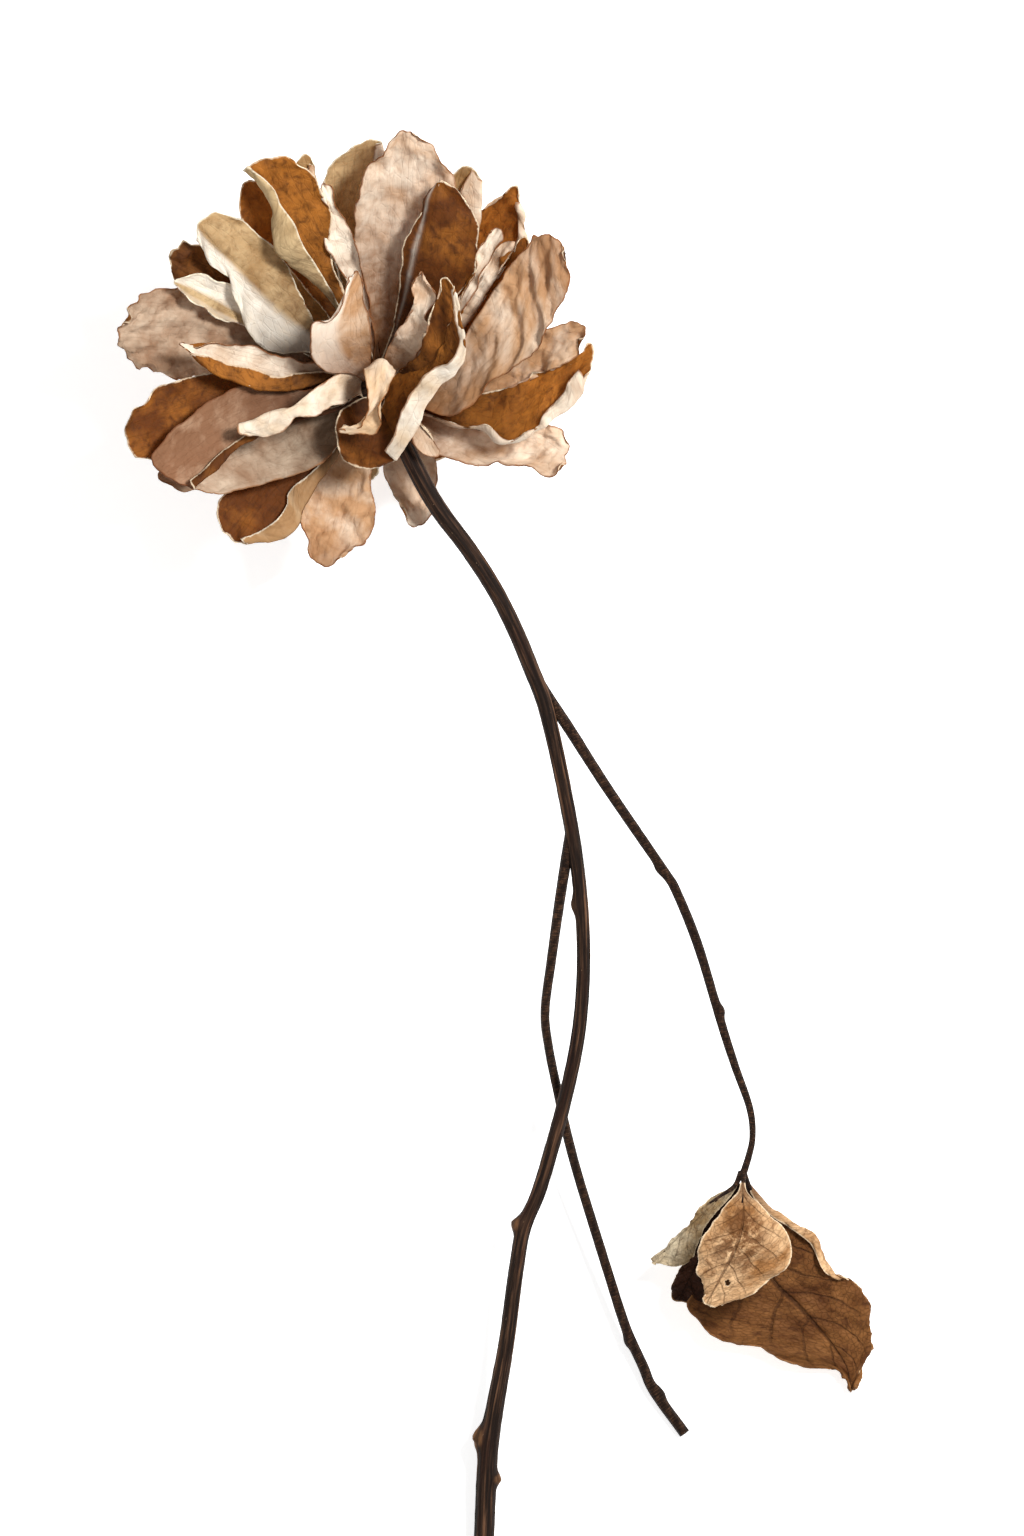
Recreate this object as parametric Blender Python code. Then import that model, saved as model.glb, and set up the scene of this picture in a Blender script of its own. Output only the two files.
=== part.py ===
"""A dried flower lying down: a bloom of papery petals, a forked woody stem and four dry leaves.

The tables give millimetres from the middle of the bloom: +X to its right, +Y towards its top,
+Z away from the surface that the flower lies on. The object's own origin is the middle of the
underside of its box, on that surface.
"""
import math
from collections import namedtuple

import bmesh
import bpy
from mathutils import Quaternion, Vector

MM = 0.001
UP = Vector((0, 0, 1))
FLOOR = -38.0        # the surface, seen from the middle of the bloom
BULB_SIDES = 16
BULB = 6.5           # radius of the swollen stem end that the petals grow from
GAP = 0.3            # air between a petal's foot and the bulb
BLOOM_RADIUS = 60.0
BOWL = 14.0          # rise of the visible petals from the bulb to the bloom's rim
PETAL_THICK = 0.5
LEAF_THICK = 0.6
STEM_SLOPE = 0.1165  # the main stem sinks this much for each millimetre that it runs down
STEM_STEP = 5.0      # distance between the rings of a stem
STEM_SIDES = 10
BRANCH_SIDES = 8
CURVE_STEPS = 24     # fine steps between two points of a path
TIP_SHARE = 0.08     # width of a blade's very tip, as a share of its widest
PETAL_ROWS = 7
PETAL_COLUMNS = 6
LEAF_ROWS = 10
LEAF_COLUMNS = 6
CLAW = 1.2           # half width of a petal's foot
STALK = 0.45         # half width of a leaf's stalk
CURL_START = 0.5     # where, from the midline (0) to the edge (1), an edge starts to curl

COLOURS = {
    "pale": (0.86, 0.71, 0.58),
    "khaki": (0.52, 0.40, 0.26),
    "taupe": (0.50, 0.36, 0.28),
    "brown": (0.26, 0.12, 0.035),
    "dark": (0.10, 0.035, 0.012),
    "stem": (0.045, 0.025, 0.016),
    "tan_leaf": (0.66, 0.45, 0.27),
    "khaki_leaf": (0.42, 0.32, 0.20),
    "brown_leaf": (0.20, 0.085, 0.025),
}

# lift is the angle at which a petal leaves the bulb, path its midline after the bulb, half its
# half widths left and right of the midline, wide the place of the widest part (0 foot, 1 tip),
# roll the turn of its face at foot and tip, cup its hollow, curl the turn of its left and right
# edges, blunt its tip from pointed (0) to round (1). Angles are degrees.
Petal = namedtuple("Petal", "name colour lift path half wide roll cup curl blunt")

PETALS = [
    # crown of the bloom
    Petal("petal_top_broad", "pale", 28, [(4.2, 33, 9), (6.5, 63.5, 11)],
          (10.5, 13), 0.68, (0, 0), 12, (0, 0), 1),
    Petal("petal_top_khaki", "khaki", 2, [(-5, 34, -2), (-5.5, 61.5, 0)],
          (8, 6.5), 0.7, (0, 0), 10, (0, 0), 0.8),
    Petal("petal_top_slip", "khaki", -10, [(-11, 33, -6.5), (-18, 57.5, -5)],
          (5, 5), 0.6, (0, 0), 5, (0, 0), 0.3),
    Petal("petal_upper_left_brown", "brown", 26, [(-16.5, 31, 9), (-26, 56.5, 9)],
          (10, 10.5), 0.66, (0, 0), 10, (100, 0), 0.8),
    Petal("petal_upper_left_dark", "brown", 5, [(-17.5, 27.5, -0.5), (-33.3, 51.5, 1)],
          (5, 5), 0.6, (0, 0), 8, (0, 0), 0.3),
    Petal("petal_upper_left_pale", "pale", 13, [(-9.5, 32, 3), (-18, 54, 4)],
          (6, 7), 0.55, (0, 0), 8, (0, 0), 0.4),
    Petal("petal_upper_right_brown", "brown", 40, [(12, 29, 17), (18, 50, 17)],
          (9.5, 9), 0.55, (0, 0), -18, (0, 0), 0.8),
    Petal("petal_upper_right_olive", "khaki", 12, [(15, 33, 4), (22.5, 54.5, 5)],
          (5.5, 5), 0.65, (0, 0), 6, (0, 0), 0.4),
    Petal("petal_right_top_brown", "brown", -6, [(20, 29, -2), (34, 49.5, 0)],
          (7, 6.5), 0.6, (0, 0), 8, (0, 20), 0.3),
    # left side
    Petal("petal_left_folded", "khaki", 18, [(-26, 23, 5), (-44, 39.5, 5)],
          (11, 10), 0.56, (0, 0), -22, (0, 0), 0.8),
    Petal("petal_left_dark", "dark", -3, [(-29, 20, -3), (-51, 33.5, -2)],
          (7, 6), 0.65, (0, 0), 8, (0, 0), 0.4),
    Petal("petal_left_rim", "khaki", 8, [(-29, 14.5, 0), (-50, 26, 1.5)],
          (5, 5), 0.6, (0, 0), 10, (0, 0), 0.3),
    Petal("petal_far_left", "pale", -12, [(-34, 12, -6), (-64.5, 14, -4)],
          (10, 9.5), 0.7, (0, 0), 10, (0, 0), 1),
    Petal("petal_left_trough", "pale", 27, [(-28, 5.5, 9), (-50, 10, 8)],
          (6, 5), 0.5, (0, 0), 55, (0, 0), 0.3),
    Petal("petal_lower_left_brown", "brown", 9, [(-32, -3, 2), (-62, -12.5, 2)],
          (8, 9), 0.66, (0, 0), 8, (0, 0), 0.8),
    Petal("petal_lower_left_cupped", "taupe", 24, [(-29, -8, 7), (-55, -19.5, 7)],
          (8, 10), 0.56, (0, 0), 22, (30, 0), 0.8),
    Petal("petal_lower_left_grey", "taupe", 0, [(-24, -15, -1.5), (-45, -25.5, -2)],
          (7, 8), 0.45, (0, 0), 12, (0, 0), 0.4),
    # foot of the bloom, round the stem
    Petal("petal_foot_brown", "brown", -17, [(-20, -18, -8), (-38, -34, -9)],
          (9, 7), 0.58, (0, 0), 10, (60, 0), 0.8),
    Petal("petal_foot_pale", "pale", -28, [(-8, -24, -12), (-11.5, -43.5, -13)],
          (9.5, 9), 0.66, (0, 0), 12, (0, 0), 1),
    Petal("petal_foot_tan", "taupe", -50, [(4, -19, -16), (9, -34, -17)],
          (7.5, 7), 0.66, (0, 0), 8, (0, 0), 1),
    Petal("petal_stem_slip", "taupe", 12, [(10.5, -9.5, 3.5), (15, -16, 2.5)],
          (2.5, 2.5), 0.6, (0, 0), 10, (0, 0), 0.5),
    # right side
    Petal("petal_right_loop", "pale", 33, [(19.5, 22, 12), (29.5, 39, 12)],
          (3.5, 3.5), 0.7, (0, 0), 30, (0, 0), 0.6),
    Petal("petal_right_pitted", "pale", 26, [(19, 18, 8), (32.5, 35, 7)],
          (4, 4), 0.7, (0, 0), 10, (0, 0), 0.5),
    Petal("petal_right_dark", "dark", 12, [(22, 18, 3), (36.5, 37, 3.5)],
          (4.5, 4), 0.7, (0, 0), 8, (0, 0), 0.4),
    Petal("petal_right_broad", "pale", 30, [(20, 2, 10), (35, 16, 12), (43.5, 37, 12)],
          (9, 9.5), 0.58, (0, 0), 12, (0, 0), 0.9),
    Petal("petal_right_pale", "pale", 10, [(30, 4, 4), (51.5, 13, 5)],
          (6, 6), 0.62, (0, 0), 10, (0, 0), 0.7),
    Petal("petal_far_right_brown", "brown", 20, [(28, -5, 7), (51.5, 3, 8)],
          (8, 8), 0.6, (0, 0), 14, (0, 0), 1),
    Petal("petal_lower_right_pale", "pale", 0, [(26, -14, 0), (46, -17, 1)],
          (7, 5.5), 0.66, (0, 0), 10, (0, 0), 1),
    # heart of the bloom, nearest to the eye
    Petal("petal_heart_left", "pale", 56, [(-9, 13, 18), (-6, 29, 19)],
          (8, 6.5), 0.45, (0, 0), 26, (0, 0), 0.4),
    Petal("petal_heart_slip", "taupe", 50, [(8, 16, 16), (10.5, 28.5, 20)],
          (4, 4), 0.5, (0, 0), 12, (0, 0), 0.4),
    Petal("petal_heart_right", "brown", 60, [(12, 7, 19), (16, 27, 24)],
          (7.5, 7), 0.5, (0, 0), 14, (0, 0), 0.5),
    Petal("petal_heart_ribbon", "pale", 24,
          [(5, -15.5, 8), (10, -8.5, 15), (15, 0, 21), (21, 10, 26), (19, 22.5, 27)],
          (2.8, 3), 0.4, (0, 0), 10, (0, 0), 0.5),
    Petal("petal_heart_left_curl", "pale", 48, [(-18, -5, 15), (-34, -10.5, 13)],
          (4.5, 4.5), 0.5, (0, 0), 35, (0, 0), 0.3),
    Petal("petal_heart_lower", "brown", 36, [(-3, -12, 9), (-3, -20, 6)],
          (6, 7), 0.5, (0, 0), 12, (0, 0), 1),
    Petal("petal_heart_twist", "pale", 68, [(2, 5, 15), (0.5, 1, 19), (-2, -8, 17.5), (-8.5, -11, 14)],
          (2.6, 2.4), 0.4, (0, 0), 15, (0, 0), 0.5),
]


# Half width left and right as for a petal; fold is a crease along the midrib.
Leaf = namedtuple("Leaf", "name colour path half wide roll cup fold curl blunt")

LEAVES = [
    Leaf("leaf_front", "tan_leaf", [(91.3, -198.9, -15.6), (90.6, -212, -11.5), (82.4, -229, -15)],
         (11.5, 12), 0.55, (0, 0), -18, 0, (0, 0), 0.75),
    Leaf("leaf_left", "khaki_leaf", [(90.0, -198.6, -17.6), (80, -207, -17.5), (69, -218.5, -25)],
         (4.5, 3.5), 0.45, (0, 0), 0, -28, (0, 0), 0),
    Leaf("leaf_inner", "dark", [(90.7, -199.2, -19.2), (83, -213, -22.5), (74.4, -228.3, -30)],
         (8, 6), 0.62, (0, 0), 12, 0, (0, 0), 0.1),
    Leaf("leaf_big", "brown_leaf",
         [(92.4, -199, -20.8), (98, -213, -28.5), (105, -229, -33), (118.5, -251, -37.4)],
         (17, 22), 0.47, (0, 0), 5, 3, (0, 0), 0.15),
]

# The petals behind: how far round the bloom they lie, in degrees.
BACK_PETALS = [8, 48, 88, 128, 168, 208]
LOWER_PETALS = [28, 68, 108, 148, 188, 230]
UNDER_PETALS = [45, 118, 190, 252, 322]
# reach and height of the tip, lift, half widths
BACK_SHAPE = (46, -14, -20, (8, 8))
LOWER_SHAPE = (38, -28, -42, (6.5, 6.5))
UNDER_SHAPE = (25, FLOOR - 1, -65, (6.5, 6.5))

MAIN_STEM = [
    (2, -4), (9.4, -20), (15, -30), (22.5, -40), (29, -50), (34.1, -60), (38.3, -70), (42, -80),
    (46.5, -100), (49.9, -120), (51.4, -140), (50.4, -160), (46.3, -180), (40.6, -200), (36.6, -210),
    (34.7, -220), (32, -240), (28.5, -260), (27.3, -270), (26.6, -286), (26.2, -303),
]
MAIN_RADIUS = [(0, 2.3), (0.3, 1.9), (0.45, 1.7), (0.65, 1.8), (0.8, 2.0), (0.9, 2.5), (1, 2.6)]
LEAFY_BRANCH = [
    (38.3, -70.5, -8.6), (43, -78, -10.2), (47.7, -85, -11), (57.3, -100, -12), (71, -120, -13.3),
    (74.7, -126, -13.6), (80.3, -140, -14.6), (86.1, -159.5, -15.8), (89.5, -170, -16.5),
    (93, -180, -17.1), (93.8, -187, -17.5), (92.9, -192, -17.7), (91.2, -197.4, -18),
]
LEAFY_RADIUS = [(0, 1.5), (0.3, 1.25), (0.75, 1.1), (0.93, 0.8), (1, 0.9)]
BARE_BRANCH = [
    (48.4, -110, -12.8), (46.9, -119, -14.8), (45.2, -130, -17.3), (43.4, -143, -20.3),
    (41.8, -156, -23), (42.7, -165, -24.6), (44.7, -175, -26.2), (47.6, -188, -27.7),
    (50.9, -200, -29), (57.1, -220, -31.5), (61.9, -235, -33.6), (66.3, -245, -34.9),
    (69.2, -251.5, -35.8), (76.9, -262.2, -36.6),
]
BARE_RADIUS = [(0, 1.4), (0.3, 1.1), (0.7, 1.2), (1, 1.35)]

# A knot is a swelling on one side: place along the stem (0 to 1), direction round it, height, length.
MAIN_KNOTS = [(0.435, 180, 0.9, 2.2), (0.70, 180, 1.6, 2.0), (0.873, 180, 2.0, 3.0), (0.905, 0, 1.3, 1.6)]
LEAFY_KNOTS = [(0.42, 200, 0.5, 1.5), (0.695, 20, 0.7, 1.5)]
BARE_KNOTS = [(0.83, 190, 0.6, 1.5), (0.925, 30, 0.7, 2.0)]


def clear_scene():
    """Remove what the file holds already."""
    for item in list(bpy.data.objects):
        bpy.data.objects.remove(item, do_unlink=True)


def level(degrees):
    """The level direction that lies so far round from +X."""
    return Vector((math.cos(math.radians(degrees)), math.sin(math.radians(degrees)), 0))


def smooth(x):
    """0 below 0, 1 above 1, and a soft step between."""
    x = min(max(x, 0.0), 1.0)
    return x * x * (3 - 2 * x)


def value_at(stops, t):
    """Read a list of (place, value) stops at t."""
    for (t0, v0), (t1, v1) in zip(stops, stops[1:]):
        if t <= t1:
            return v0 + (v1 - v0) * (t - t0) / (t1 - t0)
    return stops[-1][1]


def curve_through(points, count):
    """Evenly spaced points on a Catmull-Rom curve through the given points."""
    points = [Vector(p) for p in points]
    ends = [2 * points[0] - points[1]] + points + [2 * points[-1] - points[-2]]
    fine = []
    for a, b, c, d in zip(ends, ends[1:], ends[2:], ends[3:]):
        for i in range(CURVE_STEPS):
            t = i / CURVE_STEPS
            fine.append(0.5 * (2 * b + (c - a) * t + (2 * a - 5 * b + 4 * c - d) * t ** 2
                               + (3 * b - a - 3 * c + d) * t ** 3))
    fine.append(points[-1])
    lengths = [0.0]
    for p, q in zip(fine, fine[1:]):
        lengths.append(lengths[-1] + (q - p).length)
    out = []
    k = 0
    for i in range(count):
        goal = lengths[-1] * i / (count - 1)
        while k < len(fine) - 2 and lengths[k + 1] < goal:
            k += 1
        share = (goal - lengths[k]) / (lengths[k + 1] - lengths[k])
        out.append(fine[k].lerp(fine[k + 1], min(share, 1.0)))
    return out


def tangents(points):
    """Unit directions along a row of points."""
    last = len(points) - 1
    return [(points[min(i + 1, last)] - points[max(i - 1, 0)]).normalized() for i in range(last + 1)]


def width_share(t, wide, foot, blunt):
    """Half width of a blade at t, as a share of its widest."""
    if t < wide:
        return foot + (1 - foot) * math.sin(0.5 * math.pi * t / wide) ** 0.9
    u = (t - wide) / (1 - wide)
    return max((1 - u ** (1.6 + 1.6 * blunt)) ** (1 - 0.45 * blunt), TIP_SHARE)


def cross_section(columns, half, cup, fold, curl):
    """Offsets (across, up) of a bent strip, from its left edge to its right edge."""
    steps = columns // 2
    halves = []
    for side, width, extra in ((-1, half[0], curl[0]), (1, half[1], curl[1])):
        across = up = 0.0
        row = []
        for i in range(steps):
            s = (i + 0.5) / steps
            angle = math.radians(cup * s + fold + extra * smooth((s - CURL_START) / (1 - CURL_START)))
            across += math.cos(angle) * width / steps
            up += math.sin(angle) * width / steps
            row.append((side * across, up))
        halves.append(row)
    return halves[0][::-1] + [(0.0, 0.0)] + halves[1]


def blade_points(path, side, half, wide, roll, cup, fold, curl, blunt, foot, rows, columns, floor):
    """Rows of points of a petal or a leaf, from foot to tip."""
    spine = curve_through(path, rows + 1)
    ways = tangents(spine)
    grid = []
    for i, (point, way) in enumerate(zip(spine, ways)):
        t = i / rows
        side = (side - side.dot(way) * way).normalized()
        turn = Quaternion(way, math.radians(roll[0] + (roll[1] - roll[0]) * t))
        across = turn @ side
        up = across.cross(way)
        share = width_share(t, wide, foot / max(half), blunt)
        section = cross_section(columns, (half[0] * share, half[1] * share), cup, fold, curl)
        line = [point + across * x + up * y for x, y in section]
        grid.append([Vector((p.x, p.y, max(p.z, floor))) for p in line])
    return grid


def new_object(name, mesh, colour, parent):
    """Put a mesh in the scene under the flower's empty, with its own material."""
    item = bpy.data.objects.new(name, mesh)
    bpy.context.collection.objects.link(item)
    item.parent = parent
    material = bpy.data.materials.new(name)
    material.use_nodes = True
    shader = material.node_tree.nodes["Principled BSDF"]
    shader.inputs["Base Color"].default_value = (*COLOURS[colour], 1)
    shader.inputs["Roughness"].default_value = 0.75
    shader.inputs["Metallic"].default_value = 0.0
    mesh.materials.append(material)
    return item


def make_blade(name, colour, grid, thick, parent):
    """A thin closed sheet over the rows of points."""
    bm = bmesh.new()
    rows = [[bm.verts.new(p * MM) for p in line] for line in grid]
    for low, high in zip(rows, rows[1:]):
        for a, b, c, d in zip(low, low[1:], high[1:], high):
            bm.faces.new((a, b, c, d))
    mesh = bpy.data.meshes.new(name)
    bm.to_mesh(mesh)
    bm.free()
    mesh.shade_smooth()
    item = new_object(name, mesh, colour, parent)
    sheet = item.modifiers.new("thickness", "SOLIDIFY")
    sheet.thickness = thick * MM
    sheet.offset = 0
    return item


def make_petal(petal, parent, bowl):
    """A petal, from just above the bulb to its tip, lifted as part of a bowl that deep."""
    way = Vector((petal.path[0][0], petal.path[0][1], 0)).normalized()
    lift = math.radians(petal.lift)
    foot = (way * math.cos(lift) + UP * math.sin(lift)) * (BULB + GAP + PETAL_THICK)
    side = way.cross(UP)
    grid = blade_points([foot, *petal.path], side, petal.half, petal.wide, petal.roll, petal.cup, 0,
                        petal.curl, petal.blunt, CLAW, PETAL_ROWS, PETAL_COLUMNS, FLOOR + PETAL_THICK / 2)
    for line in grid:
        for point in line:
            point.z += bowl * (point.x ** 2 + point.y ** 2) / BLOOM_RADIUS ** 2
    return make_blade(petal.name, petal.colour, grid, PETAL_THICK, parent)


def make_leaf(leaf, parent):
    """A leaf with its narrow stalk."""
    start, first = Vector(leaf.path[0]), Vector(leaf.path[1])
    side = (first - start).cross(UP).normalized()
    grid = blade_points(leaf.path, side, leaf.half, leaf.wide, leaf.roll, leaf.cup, leaf.fold,
                        leaf.curl, leaf.blunt, STALK, LEAF_ROWS, LEAF_COLUMNS, FLOOR + LEAF_THICK / 2)
    return make_blade(leaf.name, leaf.colour, grid, LEAF_THICK, parent)


def hidden_petal(name, colour, degrees, shape):
    """A petal behind the others; a tip below the surface ends up pressed flat on it."""
    reach, height, lift, half = shape
    way = level(degrees)
    middle = way * reach * 0.52 + UP * height * 0.65
    tip = way * reach + UP * height
    return Petal(name, colour, lift, [middle, tip], half, 0.72, (0, 0), 12, (0, 0), 0.8)


def tube_mesh(name, points, radii, knots, sides):
    """A closed tube along a curve, thicker on one side at each knot."""
    spine = [Vector(p) for p in points]
    length = sum((q - p).length for p, q in zip(spine, spine[1:]))
    spine = curve_through(points, max(int(length / STEM_STEP), 2) + 1)
    ways = tangents(spine)
    bm = bmesh.new()
    side = ways[0].cross(UP).normalized()
    rings = []
    for i, (point, way) in enumerate(zip(spine, ways)):
        t = i / (len(spine) - 1)
        side = (side - side.dot(way) * way).normalized()
        up = side.cross(way)
        ring = []
        for k in range(sides):
            angle = 2 * math.pi * k / sides
            outward = side * math.cos(angle) + up * math.sin(angle)
            radius = value_at(radii, t)
            for place, degrees, height, span in knots:
                away = (t - place) * length / span
                radius += height * max(outward.dot(level(degrees)), 0) ** 2 * math.exp(-away * away)
            ring.append(bm.verts.new((point + outward * radius) * MM))
        rings.append(ring)
    for low, high in zip(rings, rings[1:]):
        for k in range(sides):
            n = (k + 1) % sides
            bm.faces.new((low[k], low[n], high[n], high[k]))
    bm.faces.new(rings[0][::-1])
    bm.faces.new(rings[-1])
    bmesh.ops.recalc_face_normals(bm, faces=bm.faces)
    mesh = bpy.data.meshes.new(name)
    bm.to_mesh(mesh)
    bm.free()
    return mesh


def bulb_mesh(name):
    """The ball at the stem's end that every petal grows from."""
    bm = bmesh.new()
    bmesh.ops.create_uvsphere(bm, u_segments=BULB_SIDES, v_segments=BULB_SIDES // 2, radius=BULB * MM)
    mesh = bpy.data.meshes.new(name)
    bm.to_mesh(mesh)
    bm.free()
    return mesh


def add_union(item, mesh, parent):
    """Join another shape to an object's solid."""
    shape = bpy.data.objects.new(mesh.name, mesh)
    bpy.context.collection.objects.link(shape)
    shape.parent = parent
    shape.hide_render = True
    shape.display_type = "WIRE"
    join = item.modifiers.new(mesh.name, "BOOLEAN")
    join.operation = "UNION"
    join.solver = "EXACT"
    join.object = shape


def make_stem(parent):
    """The main stem with its bulb, the branch that bears the leaves and the bare branch."""
    line = [(x, y, y * STEM_SLOPE) for x, y in MAIN_STEM]
    mesh = tube_mesh("stem", line, MAIN_RADIUS, MAIN_KNOTS, STEM_SIDES)
    mesh.shade_smooth()
    item = new_object("stem", mesh, "stem", parent)
    leafy = tube_mesh("leafy_branch_shape", LEAFY_BRANCH, LEAFY_RADIUS, LEAFY_KNOTS, BRANCH_SIDES)
    bare = tube_mesh("bare_branch_shape", BARE_BRANCH, BARE_RADIUS, BARE_KNOTS, BRANCH_SIDES)
    for mesh in (bulb_mesh("bulb_shape"), leafy, bare):
        add_union(item, mesh, parent)
    return item


def stand_on_origin(items, parent):
    """Move the flower so that the middle of its box's underside is the origin."""
    bpy.context.view_layer.update()
    view = bpy.context.evaluated_depsgraph_get()
    low = Vector((math.inf,) * 3)
    high = -low
    for item in items:
        seen = item.evaluated_get(view)
        for vertex in seen.to_mesh().vertices:
            place = seen.matrix_world @ vertex.co
            low = Vector(map(min, low, place))
            high = Vector(map(max, high, place))
        seen.to_mesh_clear()
    parent.location = (-(low.x + high.x) / 2, -(low.y + high.y) / 2, -low.z)


def main():
    clear_scene()
    flower = bpy.data.objects.new("flower", None)
    bpy.context.collection.objects.link(flower)
    items = [make_stem(flower)]
    items += [make_petal(petal, flower, BOWL) for petal in PETALS]
    rings = (
        ("back_petal", "khaki", BACK_PETALS, BACK_SHAPE),
        ("lower_petal", "brown", LOWER_PETALS, LOWER_SHAPE),
        ("under_petal", "taupe", UNDER_PETALS, UNDER_SHAPE),
    )
    for name, colour, angles, shape in rings:
        for number, degrees in enumerate(angles, 1):
            items.append(make_petal(hidden_petal(f"{name}_{number}", colour, degrees, shape), flower, 0))
    items += [make_leaf(leaf, flower) for leaf in LEAVES]
    stand_on_origin(items, flower)


main()
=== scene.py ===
# dried flower: papery petals round a forked woody stem, with a tuft of dry leaves
import math
import random
import bmesh
import bpy
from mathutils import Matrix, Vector, noise


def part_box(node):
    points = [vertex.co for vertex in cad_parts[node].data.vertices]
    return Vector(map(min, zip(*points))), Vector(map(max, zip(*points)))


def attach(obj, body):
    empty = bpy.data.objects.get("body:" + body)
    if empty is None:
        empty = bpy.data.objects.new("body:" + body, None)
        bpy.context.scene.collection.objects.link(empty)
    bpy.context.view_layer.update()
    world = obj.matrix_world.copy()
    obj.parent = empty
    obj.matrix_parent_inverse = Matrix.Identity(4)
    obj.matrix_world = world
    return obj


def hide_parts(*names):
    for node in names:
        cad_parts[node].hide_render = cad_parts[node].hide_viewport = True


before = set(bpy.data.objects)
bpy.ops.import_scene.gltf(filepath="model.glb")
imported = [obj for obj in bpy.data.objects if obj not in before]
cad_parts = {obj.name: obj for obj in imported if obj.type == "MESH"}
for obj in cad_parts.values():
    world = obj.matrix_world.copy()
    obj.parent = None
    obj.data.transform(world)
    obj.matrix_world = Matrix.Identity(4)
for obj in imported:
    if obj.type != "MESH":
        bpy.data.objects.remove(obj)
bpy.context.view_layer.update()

mm = 0.001
up = Vector((0, 0, 1))

bloom = {
    "bulb": 6.5,         # radius of the stem's end, in mm like every length below
    "sunk": 0.8,         # how deep a petal's foot sits in the bulb
    "radius": 60,        # of the whole bloom
    "bowl": 14,          # how far the petals rise from the bulb to the rim
    "rows": 80,
    "columns": 44,
    "hiddenRows": 44,    # a coarser sheet for the petals behind
    "hiddenColumns": 26,
    "margin": 10,        # columns of a turned margin
    "thick": 0.28,
    "foot": 2.2,         # half width of a petal's foot
}

# the middle of the bloom, found from the stem's end
stemLow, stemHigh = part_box("stem")
headAt = Vector((stemLow.x, stemHigh.y, stemHigh.z)) + Vector((1, -1, -1)) * bloom["bulb"] * mm
floorLevel = -headAt.z / mm

# what a petal or leaf is like unless its own entry says otherwise
usual = {
    "cup": 12,          # degrees that each half bends up
    "curl": (0, 0),     # extra degrees at the left and right margin
    "fold": 0,          # degrees that each half is folded up along the midline
    "ruffle": 0.6,      # mm of waving along the margin
    "crumple": 0.45,    # mm of dry creases
    "foot": (0.7, 0.85),    # share of the length that is darkened towards the foot, partly real stain and partly painted shade, and how strongly
    "tipped": (1, 0),       # where a stained tip starts, and how strongly
    "litHalfAndStreak": (0, 0),       # how much paler the left and right half are: painted light on a lit half
}

sheetDetail = {
    "stiffFoot": 0.3,     # share of the length over which a foot stays plain
    "crispFrom": 0.4,     # crumple above which sharp paper folds show
    "waveBand": 2.6,      # mm from the edge in which a margin waves
    "waves": 0.62,        # radians of wave for each mm
    "nickBand": 1.2,      # mm from the edge that is ragged
    "grain": 0.05,        # mm
    "midrib": 0.45,       # mm deep
    "sideVeins": 0.3,     # mm high
}


def smooth(x):
    x = min(max(x, 0.0), 1.0)
    return x * x * (3 - 2 * x)


def curveThrough(points, count):    # evenly spaced places on a smooth curve
    points = [Vector(p) for p in points]
    ends = [2 * points[0] - points[1]] + points + [2 * points[-1] - points[-2]]
    fine = []
    for a, b, c, d in zip(ends, ends[1:], ends[2:], ends[3:]):
        for i in range(24):
            t = i / 24
            fine.append(0.5 * (2 * b + (c - a) * t + (2 * a - 5 * b + 4 * c - d) * t ** 2
                               + (3 * b - a - 3 * c + d) * t ** 3))
    fine.append(points[-1])
    lengths = [0.0]
    for p, q in zip(fine, fine[1:]):
        lengths.append(lengths[-1] + (q - p).length)
    out = []
    k = 0
    for i in range(count):
        goal = lengths[-1] * i / (count - 1)
        while k < len(fine) - 2 and lengths[k + 1] < goal:
            k += 1
        out.append(fine[k].lerp(fine[k + 1], min((goal - lengths[k]) / (lengths[k + 1] - lengths[k]), 1)))
    return out, lengths[-1]


def wobble(x, y, seed):    # smooth noise from -1 to 1
    return noise.noise(Vector((x, y, seed)))


def sharpCrest(x, y, seed):    # noise with sharp crests
    return 1 - 3.2 * abs(wobble(x, y, seed))


def facets(x, y, seed):    # crumpled paper: cones that meet in sharp lines
    return noise.voronoi(Vector((x, y, seed)))[0][0]


def crumpleAt(x, y, seed, crisp):    # height of the dry creases at a place on the flat sheet, in mm
    x += 1.2 * wobble(x * 0.2, y * 0.2, seed + 3)
    folds = 0.6 * wobble(x * 0.12, y * 0.06, seed)
    creases = 0.4 * sharpCrest(x * 0.13, y * 0.1, seed + 7)
    slanted = 0.26 * sharpCrest(x * 0.25 + y * 0.12, y * 0.25 - x * 0.1, seed + 13)
    paper = 1.5 * facets(x * 0.26, y * 0.2, seed + 23) + 0.6 * facets(x * 0.55, y * 0.45, seed + 29) - 0.9
    return folds + (creases + slanted) + crisp * paper


def rise(s, half, shape):    # how far the sheet stands above its midline, at share s of a half width
    curl = shape["curl"][0 if s < 0 else 1]
    a = abs(s)
    bend = math.radians(shape["cup"]) * a * a / 2 + math.radians(shape["fold"]) * (a - 0.08 * (1 - a))
    return half * (bend + 0.6 * math.radians(curl) * max(a - 0.55, 0) ** 2 / 0.45)


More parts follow.
